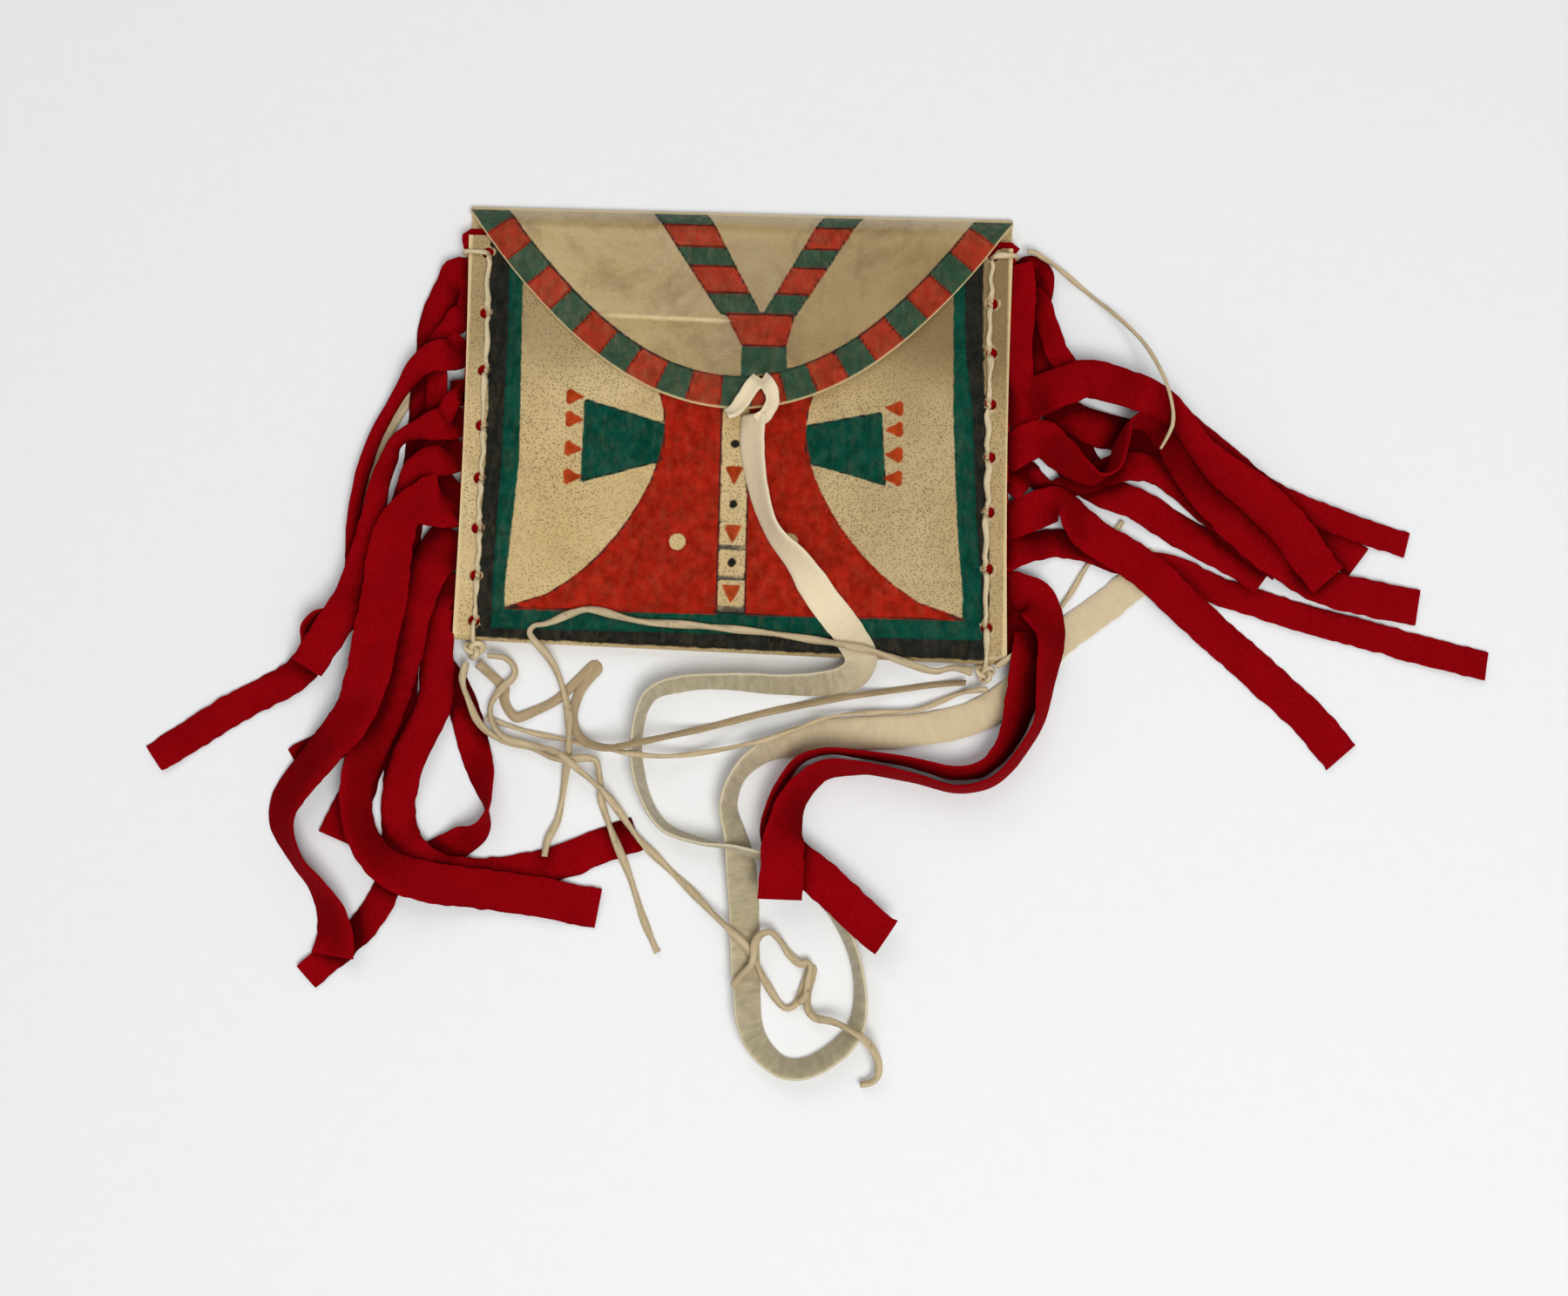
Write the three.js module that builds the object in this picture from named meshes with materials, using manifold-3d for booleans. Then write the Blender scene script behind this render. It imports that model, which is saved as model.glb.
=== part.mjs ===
// Painted rawhide envelope with a creased flap, laced side seams, cloth fringe and a thong tie.
// Millimetres, +Z up. The envelope lies on its back: +X to its right, +Y towards the flap crease.
// The origin is the middle of the back face.

import * as THREE from 'three';
import { mergeVertices } from 'three/addons/utils/BufferGeometryUtils.js';
import Module from 'manifold-3d';

// Rawhide sheet
const WIDTH = 152;
const HEIGHT = 124.3;
const BOTTOM_SKEW = 1.6;
const RAWHIDE = 1.2;
const POCKET_GAP = 5.6;
const BOTTOM_GAP = 4.4;
const MOUTH_DROP = 9.7;
const BULGE_FROM = 3;
const BULGE_TO = 40;

// Flap
const FLAP_LENGTH = 57.6;
const FLAP_SIDE = 0.8;
const CREASE_RADIUS = 1.35;
const TIE_HOLE_X = 6.6;
const TIE_HOLE_ABOVE_TIP = 7.3;
const TIE_HOLE_DIAMETER = 5;
const LIFT_FROM = 8;
const LIFT_TO = 34;

// Laced side seams
const HOLE_COUNT = 8;
const HOLE_DIAMETER = 3.4;
const HOLE_INSET = 5.7;
const LACE_DIAMETER = 2;
const KNOT_DIAMETER = 4.8;
const SEAM_SLOPE = 14;
const SETTLE_DROP = 0.8;
const LEFT_HOLES = { fromCrease: 14.6, fromBottom: 6.8, bow: 0.18 };
const RIGHT_HOLES = { fromCrease: 11.9, fromBottom: 8.4, bow: -0.11 };

// Cloth fringe
const CLOTH = 1.2;
const STRAND_CLOTH = 0.9 * CLOTH;
const HEADER_DEPTH = 12;
const HEADER_ABOVE_MOUTH = 2.5;
const HEADER_ABOVE_BOTTOM = 3;
const SLIT = 0.5;
const ROOT_INSET = 2;
const ROOT_RUN = 12;
const STRAND_SLOPE = 0.45;

// Thong tie and loose laces
const TIE_WIDTH = 9;
const TIE_THICKNESS = 1.3;
const TIE_LEG_WIDTH = 6.5;
const TIE_PLUG_DIAMETER = 3.4;
const LEG_DROOP = 0.2;
const TAIL_SLOPE = 0.9;
const CORD_SLOPE = 0.5;
const KNOT_RUN = 10;
const SINEW_DIAMETER = 1.4;

// Tie legs on the flap and the bar under it: right and up from the tie hole
const TIE_LEFT_LEG = [[-0.5, 1], [-4, -4], [-8, -9], [-11, -11.5]];
const TIE_RIGHT_LEG = [[0.5, 1], [2.5, -3], [3.2, -7], [1.5, -9.5]];
const TIE_BAR = [[0, 2], [0, -2], [0, -6]];

// Fits
const CLEARANCE = 0.3;

const RAWHIDE_COLOUR = 0xc8b282;
const WOOL_COLOUR = 0xa5081a;
const LACE_COLOUR = 0xd8c59c;
const BUCKSKIN_COLOUR = 0xd7cdaa;

// Strand routes: out from the side edge, up from the strand's own root, the tilt of the cloth in degrees,
// and where the cloth curls lengthwise, the share of its width that it still spans.
// Strands are listed in the order in which they lie, lowest first. The root counts from the top of the seam.
const LEFT_STRANDS = [
  { root: 1, width: 11.6, route: [[4, -5, -5], [7, -9, -8, 0.85], [8, -16, -10, 0.7], [9, -25, -10, 0.7],
    [10, -36, -5, 0.8], [11, -48, 0], [12, -63, 0], [14, -87, 0], [18, -109, 0], [21, -124, 0]] },
  { root: 2, width: 7.8, route: [[5, -2, -5, 0.9], [8, -5, -15, 0.7], [10, -8, -20, 0.6],
    [11, -15, -15, 0.65], [9, -26, -5, 0.8], [9, -38, 0], [10, -55, 0], [12, -79, 0], [13, -101, 0],
    [14, -123, 0], [15, -139, 0], [14, -154, 10], [20, -166, 0], [28, -175, 0], [37, -183, 0]] },
  { root: 6, width: 9.5, route: [[5, -3, -5, 0.9], [10, -6, -12, 0.7], [15, -11, -16, 0.62],
    [17, -19, -10, 0.7], [17, -39, 0], [17, -58, 0], [20, -77, 0], [25, -94, 0], [31, -106, 0]] },
  { root: 4, width: 9.5, route: [[3, -4, -8, 0.9], [7, -9, -12, 0.8], [12, -19, -10, 0.8],
    [16, -35, -5, 0.95], [19, -56, 0], [20, -76, 0], [24, -90, 0], [31, -100, 0], [42, -107, 0]] },
  { root: 10, width: 8.6, route: [[5.5, -4, 0], [5.5, -12, 0], [-1, -23, 0], [-6, -34, 0], [-9, -45, 35],
    [-11, -53, 75], [-10, -59, 115], [-5, -63, 155], [3, -66, 180], [10, -69, 180]] },
  { root: 9, width: 9.6, route: [[2, -5, 25], [4, -9, 35], [4, -18, 15], [5, -33, 0], [8, -44, 0],
    [13, -55, 0], [14, -65, 0], [10, -74, 0], [3, -80, 0], [-8, -82, 0], [-21, -80, 0], [-33, -77, 0],
    [-42, -73, 0], [-52, -69, 0]] },
  { root: 3, width: 8.7, route: [[5, -2, 0], [9, -3, -5, 0.95], [13, -6, -12, 0.85], [16, -11, -25, 0.7],
    [21, -18, -38, 0.55], [25, -25, -42, 0.5], [27, -33, -42, 0.48], [29, -41, -42, 0.48],
    [30, -51, -42, 0.5], [29, -59, -38, 0.6], [28, -66, -42, 0.75], [29, -72, -60, 0.95], [32, -75, -78],
    [38, -76, -84], [40, -79, -84], [39, -84, -70], [40, -89, -30], [47, -94, 0], [55, -98, 0],
    [64, -104, 0], [82, -116, 0]] },
  { root: 5, width: 9.9, route: [[5, -2, -5], [11, -4, -10, 0.85], [16, -6, -18, 0.65],
    [19, -10, -25, 0.55], [20, -16, -25, 0.55], [21, -24, -22, 0.65], [22, -32, -18, 0.8],
    [24, -42, -12, 0.95], [28, -52, -5], [33, -61, 0], [39, -70, 0]] },
  { root: 8, width: 10.9, route: [[2, -4, 0], [6, -9, 0], [10, -18, -5], [13, -32, -10], [17, -47, -15],
    [22, -60, -35], [25, -70, -50], [23, -81, -50], [16, -89, -35], [5, -94, -15], [-12, -96, 0],
    [-27, -98, 0], [-42, -101, 0]] },
  { root: 7, width: 12.3, route: [[4, -2, 0], [10, -3, 0], [14, -6, -4], [17, -12, -6], [18, -20, -6],
    [19, -30, -4], [20, -42, 0], [23, -54, 8], [26, -63, 20], [33, -71, 28], [42, -82, 35], [44, -91, 45],
    [40, -101, 65], [35, -107, 62], [30, -114, 45], [29, -121, 30], [29, -127, 15]] },
];
const RIGHT_STRANDS = [
  { root: 10, width: 11.8, route: [[7.5, -2, 0], [8.2, -13, -5], [4.5, -26, -15], [2, -35, -42], [-3, -43, -60],
    [-13, -46, -64], [-24, -44, -65], [-39, -41, -65], [-52, -42, -62], [-61, -49, -62], [-62, -60, -50],
    [-54, -73, -10], [-43, -84, 0], [-33, -95, 0]] },
  { root: 11, width: 10.6, route: [[8, 4, 0], [12, -2, -15], [13, -12, -35], [10, -25, -55], [4, -35, -62],
    [-5, -39, -65], [-21, -38, -65], [-36, -34, -64], [-47, -35, -60], [-54, -42, -50], [-58, -54, -25],
    [-60, -73, 0]] },
  { root: 1, width: 7.6, route: [[5, 4, 0], [9, 2, 15, 0.85], [9, -3, 25, 0.75], [8, -9, 15, 0.75],
    [8, -19, 0, 0.85], [13, -29, 0], [17, -38, 0], [20, -48, 0], [27, -58, 0], [39, -63, 0]] },
  { root: 9, width: 8, route: [[8, 3, 0], [15, 4, 0], [23, 3, 0], [35, -1, 0], [47, -3, 0], [57, -7, 0],
    [68, -11, 0], [82, -15, 0], [99, -19, 0], [117, -23, 0], [133, -27, 0]] },
  { root: 4, width: 9, route: [[6, 4, 0], [10, 4, 5], [14, 0, 18, 0.8], [14, -8, 15, 0.72],
    [15, -17, 5, 0.8], [19, -27, 0], [26, -32, 0], [37, -36, 0], [47, -42, 0], [57, -47, 0], [66, -52, 0],
    [71, -56, 0]] },
  { root: 3, width: 9.7, route: [[5, 3, 0], [7, -2, 20, 0.75], [7, -10, 18, 0.72], [12, -17, 5, 0.9],
    [22, -19, 0], [34, -21, 0], [46, -27, 0], [58, -35, 0], [71, -44, 0], [83, -51, 0], [92, -56, 0],
    [98, -60, 0]] },
  { root: 2, width: 7, route: [[5, 3, 0], [8, -1, 12, 0.9], [10, -9, 18, 0.85], [13, -15, 12, 0.9],
    [17, -20, 5], [28, -21, 5], [41, -26, 5], [51, -32, 5], [61, -41, 5], [71, -48, 0], [80, -53, 0],
    [87, -56, 0], [99, -60, 0], [111, -64, 0]] },
  { root: 7, width: 8.2, route: [[5, 4, 5, 0.9], [8, 2, 20, 0.65], [12, -1, 16, 0.65], [18, 1, 5, 0.85],
    [32, 6, 0], [40, 6, 0], [47, 2, 0], [54, -3, 0], [61, -10, 0], [68, -16, 0], [76, -21, 0]] },
  { root: 6, width: 10.2, route: [[8, 3, 10], [13, -1, 40], [19, -6, 65], [24, -8, 85], [28, -5, 105],
    [30, 1, 105], [32, 7, 90], [35, 9, 75], [39, 9, 62], [43, 4, 50], [48, -3, 40], [54, -10, 25],
    [62, -18, 10], [73, -28, 0], [88, -36, 0], [99, -38, 0], [114, -40, 0]] },
  { root: 5, width: 11.2, route: [[8, 4, -5], [14, 6, -10], [19, 8, -8], [25, 8, 5, 0.95], [32, 5, 12, 0.9],
    [40, 2, 20, 0.8], [46, -4, 25, 0.65], [52, -11, 22, 0.65], [58, -16, 14, 0.85], [68, -23, 5],
    [76, -31, 0], [83, -38, 0], [88, -45, 0]] },
  { root: 8, width: 10.4, route: [[10, 4, -5], [15, 4, -40], [18, 0, -25], [23, -3, 0], [34, -10, 0],
    [42, -15, 0], [51, -23, 0], [63, -34, 0], [75, -45, 0], [85, -54, 0], [93, -63, 0]] },
];

// Cord routes as they lie, from the object outwards.
const TIE_ROUTE = [[5, 3, 40], [5, -6, 45], [7, -18, 60], [11, -29, 70], [18, -37, 45], [25, -47, 10],
  [33, -57, 0], [36, -64, -15], [31, -69, -40], [16, -70.5, -62], [0, -70, -68], [-13, -71, -50],
  [-22, -75, -52], [-25, -87, -64], [-23, -100, -68], [-17, -110, -74], [-7, -114, -84], [4, -116, -100],
  [18, -121, -118], [30, -132, -125], [37, -147, -120], [37, -163, -118], [27, -173, -124],
  [17, -174, -128], [9, -165, -138], [7, -150, -146], [6, -134, -150], [5, -122, -150], [3, -112, -130],
  [1, -104, -118], [4, -95, -112], [13, -88, -130], [30, -84, -172], [51, -82, -180], [68, -78, -180],
  [82, -68, -180], [90, -57, -180], [104, -46, -180], [119, -33, -180]];
const UNDER_CORDS = [
  { name: 'left_sinew_top', diameter: SINEW_DIAMETER, knot: 0, route: [[-80, 46], [-83, 33], [-86, 18],
    [-91, 8], [-95, 3], [-98, -4], [-100, -11], [-102, -20], [-103, -29], [-103, -36], [-102, -43]] },
];
const CORDS = [
  { name: 'right_sinew_end', diameter: SINEW_DIAMETER, knot: 1, route: [[71, -70.6], [62, -74], [51, -76],
    [30, -79], [11, -86], [-8, -90], [-23, -91], [-42, -88], [-56, -85], [-67, -82]] },
  { name: 'corner_lace', diameter: LACE_DIAMETER, knot: -1, route: [[-69, -67], [-64, -69], [-61, -74],
    [-61, -79], [-57, -81], [-47, -77], [-40, -70], [-36, -67], [-36, -70], [-41, -76], [-43, -82],
    [-38, -88], [-27, -90], [-8, -84], [15, -77], [49, -70], [60, -69], [66.6, -68.8]] },
  { name: 'right_lace_end', diameter: LACE_DIAMETER, knot: 1, route: [[66.5, -65.6], [61, -65], [55, -66],
    [39, -61], [15, -57], [-9, -53], [-34, -52], [-48, -54], [-55, -58], [-51, -66], [-45, -74],
    [-43, -83], [-44, -91], [-44, -99], [-46, -109], [-49, -115], [-49, -121]] },
  { name: 'left_lace_end_a', diameter: LACE_DIAMETER, knot: -1, route: [[-72.2, -66.8], [-74, -71],
    [-73, -77], [-69, -83], [-64, -87], [-56, -89], [-47, -91], [-38, -92], [-34, -97], [-34, -104],
    [-32, -111], [-26, -123], [-21, -137], [-17, -146]] },
  { name: 'left_lace_end_b', diameter: LACE_DIAMETER, knot: -1, route: [[-66.4, -64.8], [-61, -68],
    [-62, -74], [-65, -78], [-64, -84], [-60, -88], [-48, -91], [-40, -96], [-32, -103], [-23, -114],
    [-10, -127], [0, -136], [8, -144], [13, -151], [19, -157], [25, -159], [34, -162], [41, -168],
    [43, -173], [41, -177], [38, -179]] },
  { name: 'right_sinew_top', diameter: SINEW_DIAMETER, knot: 0, route: [[80, 52.5], [86, 50], [98, 42],
    [110, 29], [116, 17], [120, 4], [117, -4]] },
];

const FACET_TOLERANCE = 0.02;

const { Manifold, Mesh: SolidMesh } = await loadSolids();

async function loadSolids() {
  const wasm = await Module();
  wasm.setup();
  return wasm;
}

function solidOf(geometry) {
  const bare = geometry.index ? geometry.clone() : geometry;
  bare.deleteAttribute('normal');
  bare.deleteAttribute('uv');
  const merged = mergeVertices(bare, 1e-4);
  const vertProperties = new Float32Array(merged.attributes.position.array);
  const triVerts = new Uint32Array(merged.index.array);
  return new Manifold(new SolidMesh({ numProp: 3, vertProperties, triVerts }));
}

function geometryOf(solid) {
  const mesh = solid.simplify(FACET_TOLERANCE).getMesh();
  const geometry = new THREE.BufferGeometry();
  geometry.setAttribute('position', new THREE.Float32BufferAttribute(mesh.vertProperties, 3));
  geometry.setIndex(new THREE.BufferAttribute(new Uint32Array(mesh.triVerts), 1));
  return geometry;
}

function indexedGeometry(points, triangles) {
  const geometry = new THREE.BufferGeometry();
  const places = points.flatMap((p) => [p.x, p.y, p.z]);
  geometry.setAttribute('position', new THREE.Float32BufferAttribute(places, 3));
  geometry.setIndex(triangles.flat());
  return geometry;
}

const mix = THREE.MathUtils.lerp;
const smooth = (value, from, to) => THREE.MathUtils.smoothstep(value, from, to);

// Heights of the folded sheet
const HALF = WIDTH / 2;
const LACE_ROOM = LACE_DIAMETER + 2 * CLEARANCE;
const HOLE_X = HALF - HOLE_INSET;
const SEAM_X = HOLE_X - HOLE_DIAMETER / 2;
const AXIS_Y = HEIGHT / 2 - CREASE_RADIUS;
const AXIS_Z = CREASE_RADIUS;
const BACK_TOP = AXIS_Y - CREASE_RADIUS - CLEARANCE;
const MOUTH_Y = HEIGHT / 2 - MOUTH_DROP;
const SETTLE_Y = MOUTH_Y - SETTLE_DROP;
const TIP_Y = HEIGHT / 2 - FLAP_LENGTH;
const TIE_HOLE_Y = TIP_Y + TIE_HOLE_ABOVE_TIP;

const bottomY = (x) => -HEIGHT / 2 - (BOTTOM_SKEW * x) / HALF;
const seamShare = (x) => smooth(Math.abs(x), SEAM_X - SEAM_SLOPE, SEAM_X);

function backMid(x, y) {
  const settled = 1 - smooth(y, SETTLE_Y, BACK_TOP);
  return RAWHIDE / 2 + LACE_ROOM * seamShare(x) * settled;
}

function frontMid(x, y) {
  const fromBottom = y - bottomY(x);
  const gap = mix(BOTTOM_GAP, POCKET_GAP, smooth(fromBottom, BULGE_FROM, BULGE_TO));
  const middle = 1.5 * RAWHIDE + gap;
  const seam = 1.5 * RAWHIDE + LACE_ROOM + CLOTH + 2 * CLEARANCE;
  return mix(middle, seam, seamShare(x));
}

function fold(x) {
  const outerY = bottomY(x);
  const nearY = outerY + POCKET_GAP;
  const low = backMid(x, nearY);
  const high = frontMid(x, nearY);
  const radius = (high - low) / 2;
  return { y: outerY + RAWHIDE / 2 + radius, z: (high + low) / 2, radius };
}

// A sheet of even thickness whose middle surface is a grid of points
function sheet(grid, thickness) {
  const rows = grid.length;
  const columns = grid[0].length;
  const top = [];
  const under = [];
  for (let i = 0; i < rows; i += 1) {
    for (let j = 0; j < columns; j += 1) {
      const along = grid[Math.min(i + 1, rows - 1)][j].clone().sub(grid[Math.max(i - 1, 0)][j]);
      const across = grid[i][Math.min(j + 1, columns - 1)].clone().sub(grid[i][Math.max(j - 1, 0)]);
      const normal = along.cross(across).normalize().multiplyScalar(thickness / 2);
      top.push(grid[i][j].clone().add(normal));
      under.push(grid[i][j].clone().sub(normal));
    }
  }
  const count = rows * columns;
  const at = (i, j) => i * columns + j;
  const triangles = [];
  const quad = (a, b, c, d) => triangles.push([a, b, c], [a, c, d]);
  for (let i = 0; i < rows - 1; i += 1) {
    for (let j = 0; j < columns - 1; j += 1) {
      quad(at(i, j), at(i + 1, j), at(i + 1, j + 1), at(i, j + 1));
      quad(count + at(i, j), count + at(i, j + 1), count + at(i + 1, j + 1), count + at(i + 1, j));
    }
  }
  for (let i = 0; i < rows - 1; i += 1) {
    quad(at(i, 0), count + at(i, 0), count + at(i + 1, 0), at(i + 1, 0));
    const end = columns - 1;
    quad(at(i + 1, end), count + at(i + 1, end), count + at(i, end), at(i, end));
  }
  for (let j = 0; j < columns - 1; j += 1) {
    quad(at(0, j + 1), count + at(0, j + 1), count + at(0, j), at(0, j));
    quad(at(rows - 1, j), count + at(rows - 1, j), count + at(rows - 1, j + 1), at(rows - 1, j + 1));
  }
  return indexedGeometry([...top, ...under], triangles);
}

const steps = (count) => Array.from({ length: count + 1 }, (_, i) => i / count);

// Stations across the sheet, closer together towards the seams
const SHEET_STATIONS = 18;
const STATION_PULL = 0.35;
const stations = (count, half) => steps(count).map((share) => {
  const u = 2 * share - 1;
  return half * ((1 + STATION_PULL) * u - STATION_PULL * u ** 3);
});

// Lacing holes of one side, from the top down
function holeRow(side) {
  const row = side < 0 ? LEFT_HOLES : RIGHT_HOLES;
  const top = HEIGHT / 2 - row.fromCrease;
  const low = -HEIGHT / 2 + row.fromBottom;
  return steps(HOLE_COUNT - 1).map((share) => mix(top, low, share + row.bow * share * (1 - share)));
}

function post(x, y, z, diameter, height, sides) {
  const cylinder = new THREE.CylinderGeometry(diameter / 2, diameter / 2, height, sides);
  cylinder.rotateX(Math.PI / 2);
  cylinder.translate(x, y, z);
  return solidOf(cylinder);
}

function punchHoles(solid, side) {
  const deep = 6 * (POCKET_GAP + RAWHIDE);
  return holeRow(side).reduce(
    (rest, y) => rest.subtract(post(side * HOLE_X, y, 0, HOLE_DIAMETER, deep, 8)),
    solid,
  );
}

function rawhideEnvelope() {
  const settleSteps = 3;
  const backSteps = 4;
  const foldSteps = 6;
  const frontSteps = 7;
  const grid = stations(SHEET_STATIONS, HALF).map((x) => {
    const bend = fold(x);
    const rows = [
      ...steps(settleSteps).map((share) => mix(BACK_TOP, SETTLE_Y, share)),
      ...steps(backSteps).slice(1).map((share) => mix(SETTLE_Y, bend.y, share)),
    ];
    const back = rows.map((y) => new THREE.Vector3(x, y, backMid(x, y)));
    const turn = steps(foldSteps).slice(1, -1).map((share) => {
      const angle = Math.PI * (1.5 - share);
      const y = bend.y + bend.radius * Math.cos(angle);
      return new THREE.Vector3(x, y, bend.z + bend.radius * Math.sin(angle));
    });
    const front = steps(frontSteps).map((share) => {
      const y = mix(bend.y, MOUTH_Y, share);
      return new THREE.Vector3(x, y, frontMid(x, y));
    });
    return [...back, ...turn, ...front];
  });
  return geometryOf(punchHoles(punchHoles(solidOf(sheet(grid, RAWHIDE)), -1), 1));
}

// Flap: a ramp from the crease, then a rest on the front panel
const FLAP_LANDING = MOUTH_Y + 2 * RAWHIDE;

function flapMid(x, y) {
  const away = Math.hypot(x - TIE_HOLE_X, y - TIE_HOLE_Y);
  const thongRoom = (TIE_THICKNESS + CLEARANCE) * (1 - smooth(away, LIFT_FROM, LIFT_TO));
  const resting = frontMid(x, Math.min(y, FLAP_LANDING)) + RAWHIDE + CLEARANCE + thongRoom;
  if (y < FLAP_LANDING) return resting;
  const share = (AXIS_Y - y) / (AXIS_Y - FLAP_LANDING);
  return mix(AXIS_Z, resting, share * (1.5 - 0.5 * share * share));
}

const flapEdge = (x) => TIP_Y + (AXIS_Y - FLAP_SIDE - TIP_Y) * (x / HALF) ** 2;

function flapPanel() {
  const grid = stations(SHEET_STATIONS, HALF).map((x) => steps(10).map((share) => {
    const y = mix(AXIS_Y, flapEdge(x), share ** 1.3);
    return new THREE.Vector3(x, y, flapMid(x, y));
  }));
  const crease = new THREE.CylinderGeometry(CREASE_RADIUS, CREASE_RADIUS, WIDTH, 12);
  crease.rotateZ(Math.PI / 2);
  crease.translate(0, AXIS_Y, AXIS_Z);
  const hole = post(TIE_HOLE_X, TIE_HOLE_Y, 0, TIE_HOLE_DIAMETER, 8 * POCKET_GAP, 12);
  return geometryOf(solidOf(sheet(grid, RAWHIDE)).add(solidOf(crease)).subtract(hole));
}

// What lies on the table: the height of the pile at each millimetre
const FINE_STEP = 0.8;
const PILE_MARGIN = 0.8;
const EDGE_MARGIN = 1;
const pile = new Map();
const pileKey = (x, y) => Math.round(x) * 4096 + Math.round(y);

function envelopeTop(x, y) {
  const inside = Math.abs(x) < HALF + EDGE_MARGIN && y > bottomY(x) - EDGE_MARGIN && y < HEIGHT / 2;
  return inside ? frontMid(x, y) + RAWHIDE / 2 : 0;
}

function pileTop(x, y, overEnvelope) {
  const heap = pile.get(pileKey(x, y)) ?? 0;
  return overEnvelope ? Math.max(heap, envelopeTop(x, y)) : heap;
}

function raisePile(x, y, z) {
  const key = pileKey(x, y);
  pile.set(key, Math.max(pile.get(key) ?? 0, z));
}

// Even samples along a flat route, each with its place, direction, tilt and distance
function samples(route, spacing, multiple = 1) {
  const plan = new THREE.SplineCurve(route.map(([x, y]) => new THREE.Vector2(x, y)));
  const rolls = new THREE.SplineCurve(
    route.map(([, , tilt = 0, share = 1]) => new THREE.Vector2(THREE.MathUtils.degToRad(tilt), share)),
  );
  const fine = steps(route.length * 24).map((t) => {
    const place = plan.getPoint(t);
    const roll = rolls.getPoint(t);
    return { x: place.x, y: place.y, tilt: roll.x, share: roll.y, far: 0 };
  });
  for (let i = 1; i < fine.length; i += 1) {
    fine[i].far = fine[i - 1].far + Math.hypot(fine[i].x - fine[i - 1].x, fine[i].y - fine[i - 1].y);
  }
  const length = fine[fine.length - 1].far;
  const even = steps(multiple * Math.round(length / (spacing * multiple))).map((share) => {
    const after = Math.max(1, fine.findIndex((p) => p.far >= share * length - 1e-9));
    const [a, b] = [fine[after - 1], fine[after]];
    const t = (share * length - a.far) / (b.far - a.far);
    const between = (key) => mix(a[key], b[key], t);
    const [x, y, tilt, curl] = ['x', 'y', 'tilt', 'share'].map(between);
    return { x, y, tilt, share: curl, far: share * length };
  });
  even.forEach((p, i) => {
    const next = even[Math.min(i + 1, even.length - 1)];
    const last = even[Math.max(i - 1, 0)];
    const run = Math.hypot(next.x - last.x, next.y - last.y);
    p.sideX = -(next.y - last.y) / run;
    p.sideY = (next.x - last.x) / run;
  });
  return even;
}

// Lay a strip on the pile: it rests on what is under it, and leaves it in long low humps
function lay(route, options) {
  const { width, thickness, stride, slope, overEnvelope = false, startZ = null, run = 0 } = options;
  const path = samples(route, FINE_STEP, stride);
  const shares = steps(8).map((share) => 2 * share - 1);
  for (const p of path) {
    const flat = Math.abs(Math.cos(p.tilt));
    const edge = PILE_MARGIN + (thickness / 2) * Math.abs(Math.sin(p.tilt));
    p.z = Math.max(...shares.flatMap((share) => [-edge, 0, edge].map((reach) => {
      const half = (p.share * width) / 2;
      const aside = share * half * Math.cos(p.tilt) + reach;
      const ground = pileTop(p.x + p.sideX * aside, p.y + p.sideY * aside, overEnvelope);
      return ground + CLEARANCE + (thickness / 2) * flat - share * half * Math.sin(p.tilt);
    })));
  }
  const drop = slope * (path[1].far - path[0].far);
  for (let i = 1; i < path.length; i += 1) path[i].z = Math.max(path[i].z, path[i - 1].z - drop);
  for (let i = path.length - 2; i >= 0; i -= 1) path[i].z = Math.max(path[i].z, path[i + 1].z - drop);
  if (startZ !== null) {
    for (const p of path) p.z = mix(startZ, p.z, smooth(p.far, 0, run));
  }
  const rings = path.filter((_, i) => i % stride === 0);
  for (let pass = 0; pass < 4; pass += 1) raiseRings(path, rings, stride);
  path.forEach((p, i) => {
    const [a, b] = [rings[Math.floor(i / stride)], rings[Math.ceil(i / stride)]];
    heap(p, mix(a.z, b.z, (i % stride) / stride), p.share * width, thickness);
  });
  return rings;
}

// Lift neighbouring rings until the straight run between them clears every sample
function raiseRings(path, rings, stride) {
  path.forEach((p, i) => {
    const [a, b] = [rings[Math.floor(i / stride)], rings[Math.ceil(i / stride)]];
    const short = p.z - mix(a.z, b.z, (i % stride) / stride);
    if (short > 0 && a.far > 0) a.z += short;
    if (short > 0 && b !== a) b.z += short;
  });
}

// Add one cross-section of a laid strip to the pile
function heap(p, z, width, thickness) {
  const edge = (thickness / 2) * Math.abs(Math.sin(p.tilt));
  const rise = (thickness / 2) * Math.abs(Math.cos(p.tilt));
  for (const share of steps(Math.ceil(width / 0.7))) {
    const along = (share - 0.5) * width;
    for (const reach of [-edge, 0, edge]) {
      const aside = along * Math.cos(p.tilt) + reach;
      raisePile(p.x + p.sideX * aside, p.y + p.sideY * aside, z + along * Math.sin(p.tilt) + rise);
    }
  }
}

// A swept solid through rings of points, closed at both ends
function sweep(rings) {
  const sides = rings[0].length;
  const triangles = [];
  for (let i = 0; i < rings.length - 1; i += 1) {
    for (let k = 0; k < sides; k += 1) {
      const [a, b] = [i * sides + k, i * sides + ((k + 1) % sides)];
      triangles.push([a, b, b + sides], [a, b + sides, a + sides]);
    }
  }
  const last = (rings.length - 1) * sides;
  for (let k = 1; k < sides - 1; k += 1) {
    triangles.push([0, k + 1, k], [last, last + k, last + k + 1]);
  }
  return indexedGeometry(rings.flat(), triangles);
}

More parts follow.
